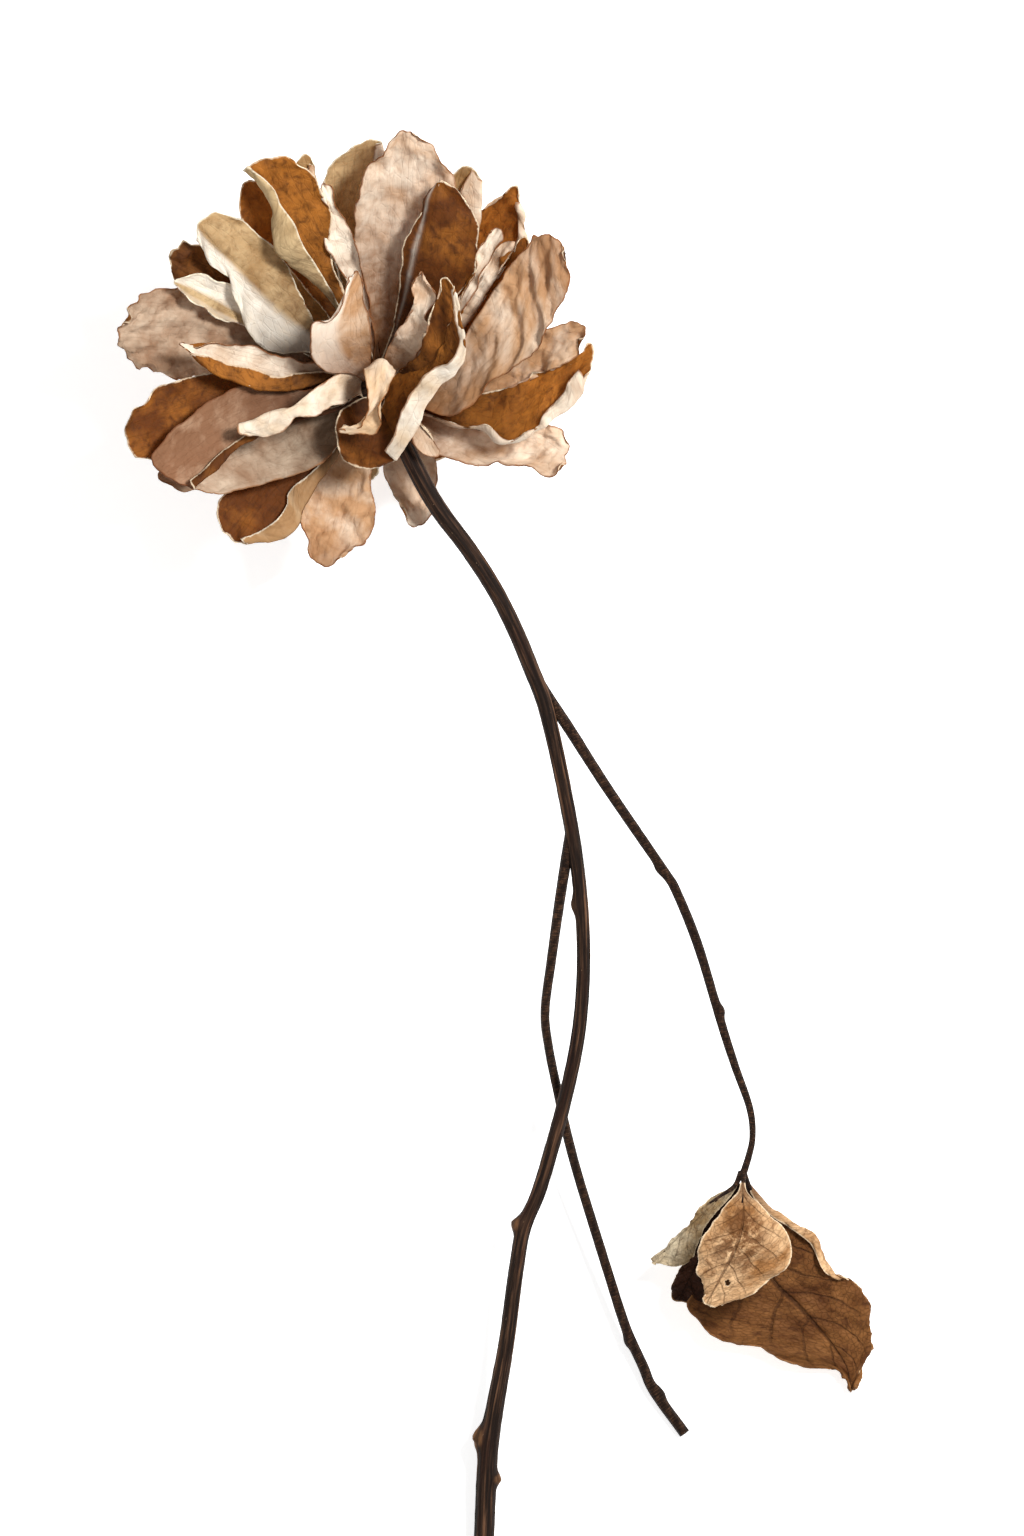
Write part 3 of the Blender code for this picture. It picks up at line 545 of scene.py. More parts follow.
# every petal is drawn as its midline (with heights) and its two edges seen from above, from the bulb out.
# left and right are as seen from the bulb. turned: a margin folded over the face, by its free edge.
# streak: a pale line at a share of the half width, how wide and how strong.
petals = {
    "petal_top_broad": dict(
        skin="pale", tone=0.3, foot=(1, 0.95), lift=28, cup=14, curl=(10, 0), ruffle=0.7, crumple=1.1,
        path=[(4.2, 33, 9), (6.5, 63.9, 11)],
        left=[(-1, 12), (-3, 25), (-5, 32), (-6, 40), (-5, 48), (-3, 54), (1, 58.5), (4, 62.6)],
        right=[(7, 12), (12, 25), (16, 38), (19.5, 48), (18.5, 53), (16, 57), (12.5, 61), (9.5, 63.2)]),
    "petal_top_khaki": dict(
        skin="khaki", tone=0.2, lift=2, curl=(0, 10), ruffle=0.5,
        path=[(-5, 33, -2), (-2, 61.8, 0)],
        left=[(-5, 12), (-9, 25), (-12.5, 38), (-13.8, 47), (-13, 53), (-10.5, 57), (-6, 59.6)],
        right=[(-2, 12), (-1, 30), (-2, 42), (-0.5, 50), (1.5, 57), (0.8, 61)],
        turned=dict(side=1, lift=1.0, edge=[(-2.5, 13), (-2, 30), (-3.2, 42), (-2, 50), (-1.2, 57),
            (-0.4, 61)])),
    "petal_top_slip": dict(
        skin="khaki", tone=0.5, lift=-10, cup=5, curl=(0, 10), ruffle=0.5,
        path=[(-11, 33, -6.5), (-18, 58.3, -5)],
        left=[(-5, 10), (-12, 25), (-17.5, 40), (-21, 50), (-20.8, 55)],
        right=[(-3, 11), (-8, 25), (-12, 40), (-15, 50), (-15.5, 55)],
        turned=dict(side=1, lift=1.0, edge=[(-4, 11), (-9, 25), (-13.5, 40), (-17.4, 50), (-17.2, 56)])),
    "petal_upper_left_brown": dict(
        skin="brown", tone=-0.1, back="khaki", lift=26, cup=10, curl=(0, 8), ruffle=0.7, crumple=0.55,
        path=[(-14.5, 31, 9), (-26.5, 57.6, 9)],
        left=[(-6, 11), (-11, 20), (-16.4, 26.3), (-22.7, 30.7), (-25.8, 34), (-26.6, 39), (-26.4, 44),
            (-29, 49), (-33.2, 54)],
        right=[(-3, 12), (-8.4, 23.6), (-11.1, 30.7), (-12, 36), (-11.1, 42.3), (-12.9, 46.8), (-15.5, 52.1),
            (-20.5, 56.8)],
        turned=dict(side=-1, lift=2.2, edge=[(-5, 12), (-10.2, 21.5), (-14.7, 29.5), (-18.4, 35), (-20.6, 40.5),
            (-23.8, 45), (-25.5, 48.6), (-28, 51.6), (-32.3, 54.8)])),
    "petal_upper_left_dark": dict(
        skin="brown", tone=0.4, lift=5, cup=8,
        path=[(-17.5, 27.5, -0.5), (-32.7, 52, 1)],
        left=[(-10, 14), (-19, 26), (-29, 37), (-33.6, 41), (-34.6, 46), (-34, 50.6)],
        right=[(-8, 16), (-13, 28), (-20, 40), (-26, 48), (-30, 51.8)]),
    "petal_upper_left_pale": dict(
        skin="pale", tone=-0.15, lift=24, cup=14, curl=(0, 30), ruffle=0.7, crumple=0.55,
        path=[(-8.2, 32, 8.5), (-13.6, 50.6, 10)],
        left=[(-3, 12), (-6.5, 22), (-8.6, 28), (-11.5, 32.5), (-13.4, 35.5), (-13, 40), (-12.6, 44),
            (-14.6, 48)],
        right=[(0, 12), (-3, 24), (-4.2, 32.5), (-5.8, 38), (-8.4, 41.5), (-10.2, 46), (-12, 49.8)]),
    "petal_upper_right_brown": dict(
        skin="brown", tone=0.95, streak=(-0.4, 0.09, 0.35), lift=40, cup=-14, curl=(30, 0), fold=-16,
        crumple=0.6,
        path=[(11.6, 30, 17.5), (15.4, 51.3, 17)],
        left=[(2, 10), (4.5, 18), (5.2, 24), (5.9, 30), (6.3, 35.2), (8.6, 39.6), (12, 45), (13.4, 48.8)],
        right=[(8, 9), (15, 18), (20.2, 23.5), (23.8, 28), (24.8, 34.5), (25.1, 39.8), (23.3, 44.2),
            (19.8, 49)]),
    "petal_upper_right_olive": dict(
        skin="khaki", tone=0.5, lift=12, cup=6, curl=(0, 10), ruffle=0.5, crumple=0.4,
        path=[(15, 33, 4), (23, 55.3, 5)],
        left=[(6, 9), (12, 22), (16, 35), (18, 45), (18.8, 53.4)],
        right=[(9, 8), (18, 22), (24, 35), (25.9, 44), (25.9, 51.5)],
        turned=dict(side=1, lift=1.2, edge=[(8, 9), (17, 22), (22.5, 36), (21.3, 44), (20.8, 49), (23.4, 54)])),
    "petal_right_top_brown": dict(
        skin="brown", tone=0.4, lift=-6, cup=8, curl=(0, 10), crumple=0.8,
        path=[(20, 29, -2), (34.4, 50.4, 0)],
        left=[(6, 10), (13, 22), (19, 32), (24, 40), (25, 43.6), (29.5, 46.6)],
        right=[(9, 8), (20, 20), (30, 30), (37, 36), (36.7, 41), (35.4, 46)],
        turned=dict(side=1, lift=1.2, edge=[(9, 9), (19, 20), (28.5, 31), (34.8, 37), (34.6, 42),
            (34.7, 46.5)])),
    "petal_left_folded": dict(
        skin="khaki", tone=0.35, litHalfAndStreak=(1, 0), lift=18, cup=-8, curl=(-5, 15), fold=-9, ruffle=0.8,
        crumple=0.7,
        path=[(-25, 22.5, 5.5), (-44.8, 40.8, 5)],
        left=[(-8, 6), (-16.4, 8.5), (-21, 9), (-26.3, 9), (-30.8, 11.5), (-33.6, 17), (-35.7, 23), (-37.5, 28),
            (-42.5, 31.5), (-44.2, 36)],
        right=[(-6, 10), (-11, 13), (-16.4, 16.4), (-18.7, 21.8), (-21.8, 28.9), (-25.4, 34.3), (-30, 38.5),
            (-34.3, 42), (-40, 43.5)]),
    "petal_left_dark": dict(
        skin="dark", tone=0.6, lift=-3, cup=8, curl=(0, 30), ruffle=0.9, crumple=1.2,
        path=[(-29, 20, -3), (-52, 33, -2)],
        left=[(-16, 9), (-30, 18), (-38, 23.5), (-45, 25.5), (-50, 26), (-52, 29)],
        right=[(-14, 12), (-25, 22), (-34, 29), (-40, 33.5), (-44.5, 35.7), (-48.5, 36)]),
    "petal_left_rim": dict(
        skin="khaki", tone=0, litHalfAndStreak=(0.3, 0.9), lift=8, cup=10, curl=(0, 50),
        path=[(-29, 14.5, 0), (-50.8, 26, 1.5)],
        left=[(-14, 6), (-25, 12), (-33, 15.5), (-39.6, 17.3), (-45.5, 21), (-49.8, 24.6)],
        right=[(-12, 8), (-25, 18), (-34, 24), (-40, 26.8), (-46, 28.2), (-50, 27.4)]),
    "petal_far_left": dict(
        skin="ash", tone=0.7, lift=-12, cup=8, curl=(-70, 0), ruffle=1, crumple=1.9,
        path=[(-34, 12, -5.5), (-65.2, 13.8, -3)],
        left=[(-13, 1), (-30, 2), (-42, 2.6), (-52, 3.5), (-60, 5.5), (-64.6, 10)],
        right=[(-12, 6), (-26, 16), (-36, 21.5), (-44, 24.5), (-53, 25), (-60, 22.3), (-63.5, 17.5)]),
    "petal_left_trough": dict(
        skin="pale", tone=0.1, lift=27, cup=22, curl=(20, 20), crumple=0.55,
        path=[(-28, 5, 8.5), (-49.6, 10.8, 8)],
        left=[(-7, 1), (-12, 1.8), (-16.4, 0.6), (-21.8, -0.8), (-29.8, -0.8), (-36, 1.4), (-40.5, 3),
            (-46, 7.4)],
        right=[(-9, 4.6), (-14.7, 5.8), (-20, 6.8), (-27, 8.8), (-34, 10.8), (-39.2, 11), (-44.5, 9.8)],
        turned=dict(side=-1, lift=1.5, edge=[(-8, 2.6), (-13, 4), (-20, 3.6), (-25, 2.6), (-30, 4.4),
            (-36, 5.6), (-41, 7.2), (-46.6, 8.8)])),
    "petal_lower_left_brown": dict(
        skin="brown", tone=0.8, lift=9, cup=10, ruffle=0.8, crumple=0.6,
        path=[(-32, -3, 2), (-63, -11.5, 2)],
        left=[(-12, -3), (-26, -7), (-38, -12), (-48, -16.5), (-55, -18.5), (-60.4, -17.6)],
        right=[(-12, 3), (-25, 4), (-36, 4.7), (-42, 3.6), (-49.5, 1.9), (-55.7, -0.6), (-60, -5.4)]),
    "petal_lower_left_cupped": dict(
        skin="taupe", tone=0.95, back="brown", lift=24, cup=22, curl=(20, 0), ruffle=0.5, crumple=0.4,
        path=[(-29, -6, 6.5), (-54, -21.5, 7)],
        left=[(-8, -5), (-18, -8), (-27, -11), (-32.5, -13.8), (-36.8, -17), (-40.2, -20.6), (-46, -25.2)],
        right=[(-10, 1), (-16, -0.5), (-31.6, 0.5), (-37, -0.8), (-43.2, -4.3), (-48.6, -8.4), (-52.8, -12.4),
            (-56, -17)],
        turned=dict(side=-1, lift=1.3, edge=[(-9, -4.2), (-18, -6.2), (-27, -9.2), (-33.2, -12), (-38, -15.2),
            (-41.8, -18.8), (-46.8, -23.4)])),
    "petal_lower_left_grey": dict(
        skin="ash", tone=0.65, back="brown", lift=0, crumple=0.8,
        path=[(-24, -14, -1.5), (-54.4, -22.9, -1)],
        left=[(-7, -8), (-10, -14), (-14.7, -19.3), (-22.7, -22.2), (-32.5, -25), (-40.5, -26.6),
            (-48.6, -25.6)],
        right=[(-9, -3), (-20, -7), (-30, -12), (-38, -16), (-46, -19.5), (-53.6, -20.8)]),
    "petal_foot_brown": dict(
        skin="brown", tone=1.05, back="sand", lift=-17, crumple=0.55,
        path=[(-20, -18, -8), (-36.5, -38, -9)],
        left=[(-4, -8), (-12, -20), (-17.5, -28), (-19.5, -34), (-22.5, -37), (-27.2, -38.9), (-33, -38.9)],
        right=[(-6, -4), (-16, -13), (-25, -19), (-33, -23.5), (-38.7, -26.5), (-40.2, -31), (-39.4, -35)],
        turned=dict(side=-1, lift=1.8, edge=[(-5, -8), (-14, -18.5), (-22, -25.5), (-22.8, -29), (-25.4, -33),
            (-31, -36.4), (-34.4, -38)])),
    "petal_foot_pale": dict(
        skin="pale", tone=0.85, foot=(0.15, 0.3), tipped=(0.72, 0.45), lift=-28, ruffle=0.8, crumple=1.6,
        path=[(-8, -24, -12), (-13.6, -44.8, -13)],
        left=[(-1, -7), (-1, -14), (-1.5, -20), (-1.4, -26), (-0.7, -31), (-1, -35), (-4, -38.7),
            (-8.4, -42.6)],
        right=[(-6, -6), (-11, -11), (-16.2, -20), (-19, -28), (-19.9, -33), (-18.8, -37), (-17.6, -41.6)]),
    "petal_foot_tan": dict(
        skin="pale", tone=0.6, lift=-50, cup=8, ruffle=0.8, crumple=1.3,
        path=[(4, -19, -16), (9.8, -34.4, -17)],
        left=[(6, -6), (11, -11), (14.4, -18), (14.9, -25), (13.8, -31.4)],
        right=[(-1, -8), (0, -14), (1, -20), (4, -28), (6.8, -33)]),
    "petal_stem_slip": dict(
        skin="pale", tone=0.4, lift=12, cup=10, ruffle=0.4, crumple=0.35,
        path=[(10.5, -9.5, 3.5), (14.6, -17.2, 2.5)],
        left=[(9.5, -8), (13, -12), (15.6, -16)],
        right=[(8, -11), (9, -14.4), (12, -17)]),
    "petal_right_loop": dict(
        skin="pale", tone=0.1, lift=33, cup=30, curl=(70, 20), crumple=0.6,
        path=[(19.5, 21, 12), (30, 39.8, 12)],
        left=[(9, 9), (17, 17), (21, 22), (24, 29.5), (25.2, 35), (27, 38.6)],
        right=[(11, 8), (19, 16), (23.5, 22), (26, 28), (29, 33.5), (31.9, 36.8)]),
    "petal_right_pitted": dict(
        skin="pale", tone=0.3, lift=26, cup=10, crumple=1.6,
        path=[(19, 17, 8), (34.2, 36.6, 7)],
        left=[(9, 8), (17, 14), (22.4, 20.5), (24.6, 27.5), (26, 31.8), (29, 34.5)],
        right=[(11, 7), (19, 12), (24, 18), (28, 24.5), (31, 29.8), (33.4, 33.5)]),
    "petal_right_dark": dict(
        skin="brown", tone=0.3, lift=12, cup=8,
        path=[(22, 17, 3), (37, 37.4, 3.5)],
        left=[(9, 7), (18, 13), (25, 20), (30, 27), (34, 34)],
        right=[(10, 6), (21, 11), (29, 17), (35, 25), (38, 32)]),
    "petal_right_broad": dict(
        skin="pale", tone=0.8, tipped=(0.6, 0.45), lift=30, cup=14, curl=(0, 10), ruffle=0.8, crumple=1.6,
        path=[(19, 3, 10), (33, 16, 12), (43.5, 38, 12)],
        left=[(7, 5), (14, 9), (21, 12), (24, 17), (28.2, 23), (32.7, 30), (37.3, 35.5), (39.5, 37.4)],
        right=[(8, -4), (12.5, -5.8), (16.5, -7), (21, -6.8), (25, -2.7), (29.5, 1.8), (36.5, 6.4), (42.4, 13),
            (44.2, 18.3), (46.7, 22), (48.2, 28.5), (47.3, 33)]),
    "petal_right_pale": dict(
        skin="pale", tone=0.9, lift=12, cup=8, ruffle=0.8, crumple=1.2,
        path=[(30, 5, 5), (52.4, 14, 10)],
        left=[(8, 4), (20, 8), (32, 12.5), (43, 15), (49.5, 15.9)],
        right=[(8, -1), (18, -3), (26.4, -3.8), (32.7, -1.2), (40.7, 2.8), (47.9, 6.2), (51.2, 10.8)]),
    "petal_far_right_brown": dict(
        skin="brown", tone=0.1, lift=20, cup=16, ruffle=0.7, crumple=0.55,
        path=[(28, -5, 7), (54, 9, 8)],
        left=[(8, 0), (18, -1), (28.2, -1.2), (36.3, 2), (42.5, 4.2), (49.5, 6.4), (52.2, 11.2)],
        right=[(7, -4.5), (12, -7.2), (21, -10.5), (26.4, -10.6), (30, -14), (34.5, -14), (39.8, -11),
            (45, -7.4), (49, -4.2), (51.6, 2)],
        turned=dict(side=1, lift=1.6, edge=[(8, -4.5), (13, -6.5), (21, -9.6), (27, -9.4), (31, -12.6),
            (35, -12.6), (39.8, -9.4), (43.2, -4.5), (46.5, -1), (50, 4.5)])),
    "petal_lower_right_pale": dict(
        skin="pale", tone=0.4, lift=0, curl=(0, 20), ruffle=0.8, crumple=1.4,
        path=[(26, -13.5, 0), (47.3, -16.6, 1)],
        left=[(7, -5), (12.5, -7), (20, -9.5), (28, -10.5), (36, -10), (41.6, -9), (45.4, -10.4),
            (47.2, -13.4)],
        right=[(5, -8), (8.6, -14), (15.7, -17), (23.8, -19.4), (32.7, -19.8), (38, -20.6), (41.6, -22),
            (44.6, -22), (46.6, -19.6)]),
    "petal_heart_left": dict(
        skin="pale", tone=0.75, back="pale", litHalfAndStreak=(0.8, 0), lift=56, cup=22, curl=(30, 0), ruffle=0.4,
        path=[(-8, 13, 18), (-5.4, 29, 19)],
        left=[(-7, 3.6), (-12, 3.6), (-15.6, 6), (-16.8, 11), (-16.6, 15.8), (-12, 16.4), (-8.9, 21.3),
            (-7.2, 26.3)],
        right=[(-1.8, 5), (-1.6, 9.3), (-1.7, 14.6), (-3, 20), (-3.9, 25.6)]),
    "petal_heart_slip": dict(
        skin="pale", tone=0.3, back="pale", lift=50, cup=14, curl=(0, 40), ruffle=0.9, crumple=0.9,
        path=[(8, 15, 16), (10.9, 29.3, 20)],
        left=[(1.4, 6), (2, 8.6), (4.2, 12.5), (6.8, 16.4), (9.2, 21.8), (8.9, 27)],
        right=[(6, 4.5), (9.9, 8), (13.4, 13), (12.6, 16.4), (13.5, 20), (15, 23.6), (12.8, 26.7)]),
    "petal_heart_right": dict(
        skin="brown", tone=0.5, lift=60, cup=14, ruffle=0.5,
        path=[(12.5, 8, 19), (17, 27.4, 23)],
        left=[(4.5, 3.5), (8, 5.5), (10.8, 9.5), (12.6, 15.5), (13.9, 19.5), (15.5, 24.6)],
        right=[(6.5, 0), (13, 0), (18, 4), (21, 9), (20.8, 16), (20.3, 20.5), (18.9, 25.2)]),
    "petal_heart_left_curl": dict(
        skin="cream", tone=0.5, foot=(0.2, 0.7), lift=48, cup=-22, curl=(-20, 0), crumple=0.8,
        path=[(-17, -4, 16), (-35, -10.9, 13.5)],
        left=[(-4.5, -1.5), (-7, -3), (-10.2, -4.4), (-15.5, -6.8), (-20, -7.4), (-23.6, -10.8), (-27.2, -12.6),
            (-32, -11.8)],
        right=[(-4, 3.2), (-7.5, 4.6), (-10.2, 3.2), (-14.7, 0.4), (-20, -3.8), (-25.4, -6.8), (-31.6, -9.2)]),
    "petal_heart_lower": dict(
        skin="brown", tone=0.75, lift=62, ruffle=0.8,
        path=[(-2, -12, 9), (-4, -20, 6)],
        left=[(4, -5), (7, -9), (7.5, -13), (5, -17.5), (1, -19.6)],
        right=[(-5, -3), (-9.5, -6), (-10.5, -9), (-10.1, -14), (-8.8, -18)]),
    "petal_heart_twist": dict(
        skin="cream", tone=0.9, back="cream", foot=(0, 0), lift=68, cup=30, curl=(30, 30), ruffle=0.5,
        crumple=0.8,
        path=[(0.9, 7, 15), (0.8, 1.5, 19), (-1.4, -7, 17.5), (-9.4, -11, 14)],
        left=[(4.4, 4.8), (3.4, 1.5), (1, -4), (0.5, -9), (-1, -11.9), (-7, -12)],
        right=[(-3, 4.8), (-2.8, 1), (-1.9, -3), (-3.5, -7.5), (-4.5, -10.2), (-8.8, -10)]),
}

# the curled rim beside the heart, as lines along it: at the bulb, on the face, at the fold and at the free edge
heartRibbon = dict(
    seed=60, skin="brown", back="cream", tone=0.4, foot=(0, 0), ruffle=0.5, crumple=0.8,
    rails=[
        [(0.5, -7.4, 4), (1.2, -4, 7.4), (3, 0.5, 8), (6, 5, 9)],
        [(1.2, -12.5, 7), (4.4, -7.5, 10.5), (8, -2, 13.5), (12.6, 4, 17.5), (16.5, 10, 21)],
        [(4.6, -18.2, 9), (7.9, -13.2, 14), (10.6, -9, 17), (12, -5, 19), (16, 0.2, 21.5), (19.7, 3.9, 24),
         (21.9, 8.6, 25.6), (20.9, 16.4, 26.6), (19.4, 24.5, 27)],
        [(1.7, -15.8, 11), (4, -12, 15.5), (5.9, -6, 19), (8.6, -1.2, 21), (12.4, 3.6, 22.8), (17, 5.4, 25),
         (20, 9.6, 26.4), (19.4, 16.2, 27.2), (18.2, 23.5, 27.4)]])

# three rings of petals behind those: angles round the bloom, reach, height of the tip, lift, half width
hiddenPetals = {
    "back_petal": dict(angles=[8, 48, 88, 128, 168, 208], reach=46, height=-14, lift=-20, half=8),
    "lower_petal": dict(angles=[28, 68, 108, 148, 188, 230], reach=38, height=-28, lift=-42, half=6.5),
    "under_petal": dict(angles=[45, 118, 190, 252, 322], reach=25, height=floorLevel - 1, lift=-65, half=6.5),
}
hiddenSkins = ["khaki", "brown", "pale", "taupe"]


def growPetal(name, shape, bowl, seed, rows, columns):
    shape = dict(usual, **shape)
    first = shape["path"][0]
    way = Vector((first[0], first[1], 0)).normalized()
    lift = math.radians(shape["lift"])
    foot = (way * math.cos(lift) + up * math.sin(lift)) * (bloom["bulb"] - bloom["sunk"])
    grid, shares = drawnGrid(foot, way.cross(up), shape, rows, columns, bloom["foot"])
    piece = gridSheet(name + "_sheet", grid, shares, shape, bowl, bloom["thick"], seed)
    dressBlade(piece, shape, petalSkin, name)


def widthShare(t, wide, foot, blunt):    # for the hidden petals, which have no drawn edges
    if t < wide:
        return foot + (1 - foot) * math.sin(0.5 * math.pi * t / wide) ** 0.9
    u = (t - wide) / (1 - wide)
    return max((1 - u ** (1.6 + 1.6 * blunt)) ** (1 - 0.45 * blunt), 0.05)


def edgesFor(shape, foot, way):    # even edges for a petal that isn't drawn
    side = way.cross(up)
    spine = curveThrough([foot, *shape["path"]], 101)[0]
    for sign, key in ((-1, "left"), (1, "right")):
        shape[key] = []
        for t in (0.12, 0.25, 0.4, 0.55, 0.68, 0.8, 0.88, 0.94, 0.98, 1):
            width = shape["half"] * widthShare(t, 0.68, 0.2, 0.8)
            place = spine[round(t * 100)] + side * sign * width
            shape[key].append((place.x, place.y))


def growBloom():
    for seed, (name, shape) in enumerate(petals.items()):
        growPetal(name, shape, bloom["bowl"], seed, bloom["rows"], bloom["columns"])
    grid = railGrid(heartRibbon["rails"], bloom["rows"], bloom["columns"])
    shares = [2 * j / bloom["columns"] - 1 for j in range(bloom["columns"] + 1)]
    shape = dict(usual, **heartRibbon)
    piece = gridSheet("petal_heart_ribbon_sheet", grid, shares, shape, bloom["bowl"], bloom["thick"], shape["seed"])
    dressBlade(piece, shape, petalSkin, "petal_heart_ribbon")
    seed = 100
    for ring, shape in hiddenPetals.items():
        for number, degrees in enumerate(shape["angles"], 1):
            seed += 1
            way = Vector((math.cos(math.radians(degrees)), math.sin(math.radians(degrees)), 0))
            lift = math.radians(shape["lift"])
            middle = way * shape["reach"] * 0.52 + up * shape["height"] * 0.65
            tip = way * shape["reach"] + up * shape["height"]
            hidden = dict(skin=hiddenSkins[seed % 4], lift=shape["lift"], path=[middle, tip], half=shape["half"],
                          cup=12, curl=(20, 20), ruffle=0.8, crumple=1)
            edgesFor(hidden, (way * math.cos(lift) + up * math.sin(lift)) * bloom["bulb"], way)
            growPetal(f"{ring}_{number}", hidden, 0, seed, bloom["hiddenRows"], bloom["hiddenColumns"])


# drawn like the petals, with the foot as the first point of the midline. hole: place and radius.
leaves = {
    "leaf_front": dict(
        skin="tanLeaf", hole=(87.5, -224, 0.7), cup=-14, curl=(-10, 0), crumple=0.8,
        path=[(91.3, -198.9, -15.6), (90.6, -212, -11.5), (82.2, -229.4, -15)],
        left=[(92.5, -201.5), (95.5, -204.5), (99.5, -208.5), (102.8, -212.5), (103.6, -216.5), (102, -220),
            (96.5, -224.2), (91, -227.7), (86, -229.6)],
        right=[(90, -201.5), (87.5, -204), (84.5, -208), (80.8, -214), (80, -219.5), (81.3, -224.5),
            (81.2, -227.8)]),
    "leaf_left": dict(
        skin="khakiLeaf", cup=-20, fold=-30, ruffle=0.3, crumple=0.7,
        path=[(90.0, -198.6, -17.6), (81, -207, -17.5), (69, -218.8, -25)],
        left=[(88.8, -201.5), (86, -205), (82.2, -209.2), (80, -214.5), (78.2, -218.6), (74.2, -219.9),
            (70.5, -219.1), (69, -218.7)],
        right=[(88.5, -200.5), (85.8, -201.4), (83, -202.8), (80.6, -205.9), (79.6, -208.9), (78.8, -212.1),
            (75.2, -215), (72, -217.2), (69.2, -218.4)]),
    "leaf_inner": dict(
        skin="darkLeaf", ruffle=0.5, crumple=0.6,
        path=[(90.7, -199.2, -19.2), (83, -213, -22.5), (75.2, -229, -30)],
        left=[(92, -203), (91, -210), (88, -218), (85, -224), (82.3, -229)],
        right=[(87.2, -202.5), (83.2, -205.8), (80.8, -210), (79.4, -214), (76.8, -219.5), (73.6, -225.5)]),
    "leaf_big": dict(
        skin="brownLeaf", cup=6, ruffle=0.7, crumple=0.8,
        path=[(92.4, -199, -20.8), (94.3, -212, -27.5), (98.6, -223, -30.5), (105.3, -229.9, -32),
            (110.5, -235.7, -33), (114.2, -240.2, -34), (117.6, -245.6, -35), (118.7, -251.6, -35.6)],
        left=[(95, -201.5), (99, -205.5), (104, -208.5), (109, -211.6), (111.2, -215), (112.6, -218.5),
            (114.5, -221.6), (118, -223.2), (120.8, -226), (122.2, -230), (123.2, -235), (122.9, -240),
            (121.9, -244.4), (120.4, -248.1), (118.9, -251)],
        right=[(91, -203), (88, -212), (82, -222), (77.2, -229.5), (80, -233.2), (83.5, -237.4), (89.5, -239.6),
            (95.6, -240.3), (99.5, -242.8), (104, -244.6), (109.4, -245.8), (113.4, -245.6), (116.6, -246.6),
            (117.8, -248.8), (118.4, -251)],
        turned=dict(side=-1, lift=1.6, edge=[(94.2, -203), (98.6, -207.3), (103, -210.4), (107.4, -213.4),
            (109.6, -216.8), (111.2, -220.4), (113.6, -222.8), (117.9, -223.3), (120.8, -226), (122.2, -230),
            (123.2, -235), (122.9, -240), (121.9, -244.4), (120.4, -248.1), (118.9, -251)])),
}
leafSheet = dict(rows=90, columns=56, thick=0.35, stalk=0.55)


def growLeaves():
    for seed, (name, shape) in enumerate(leaves.items(), 200):
        start, first = Vector(shape["path"][0]), Vector(shape["path"][1])
        rest = dict(usual, **shape)
        rest["path"] = shape["path"][1:]
        side = (first - start).cross(up).normalized()
        grid, shares = drawnGrid(start, side, rest, leafSheet["rows"], leafSheet["columns"], leafSheet["stalk"])
        piece = gridSheet(name + "_sheet", grid, shares, rest, 0, leafSheet["thick"], seed, veined=True)
        dressBlade(piece, rest, leafSkin, name)


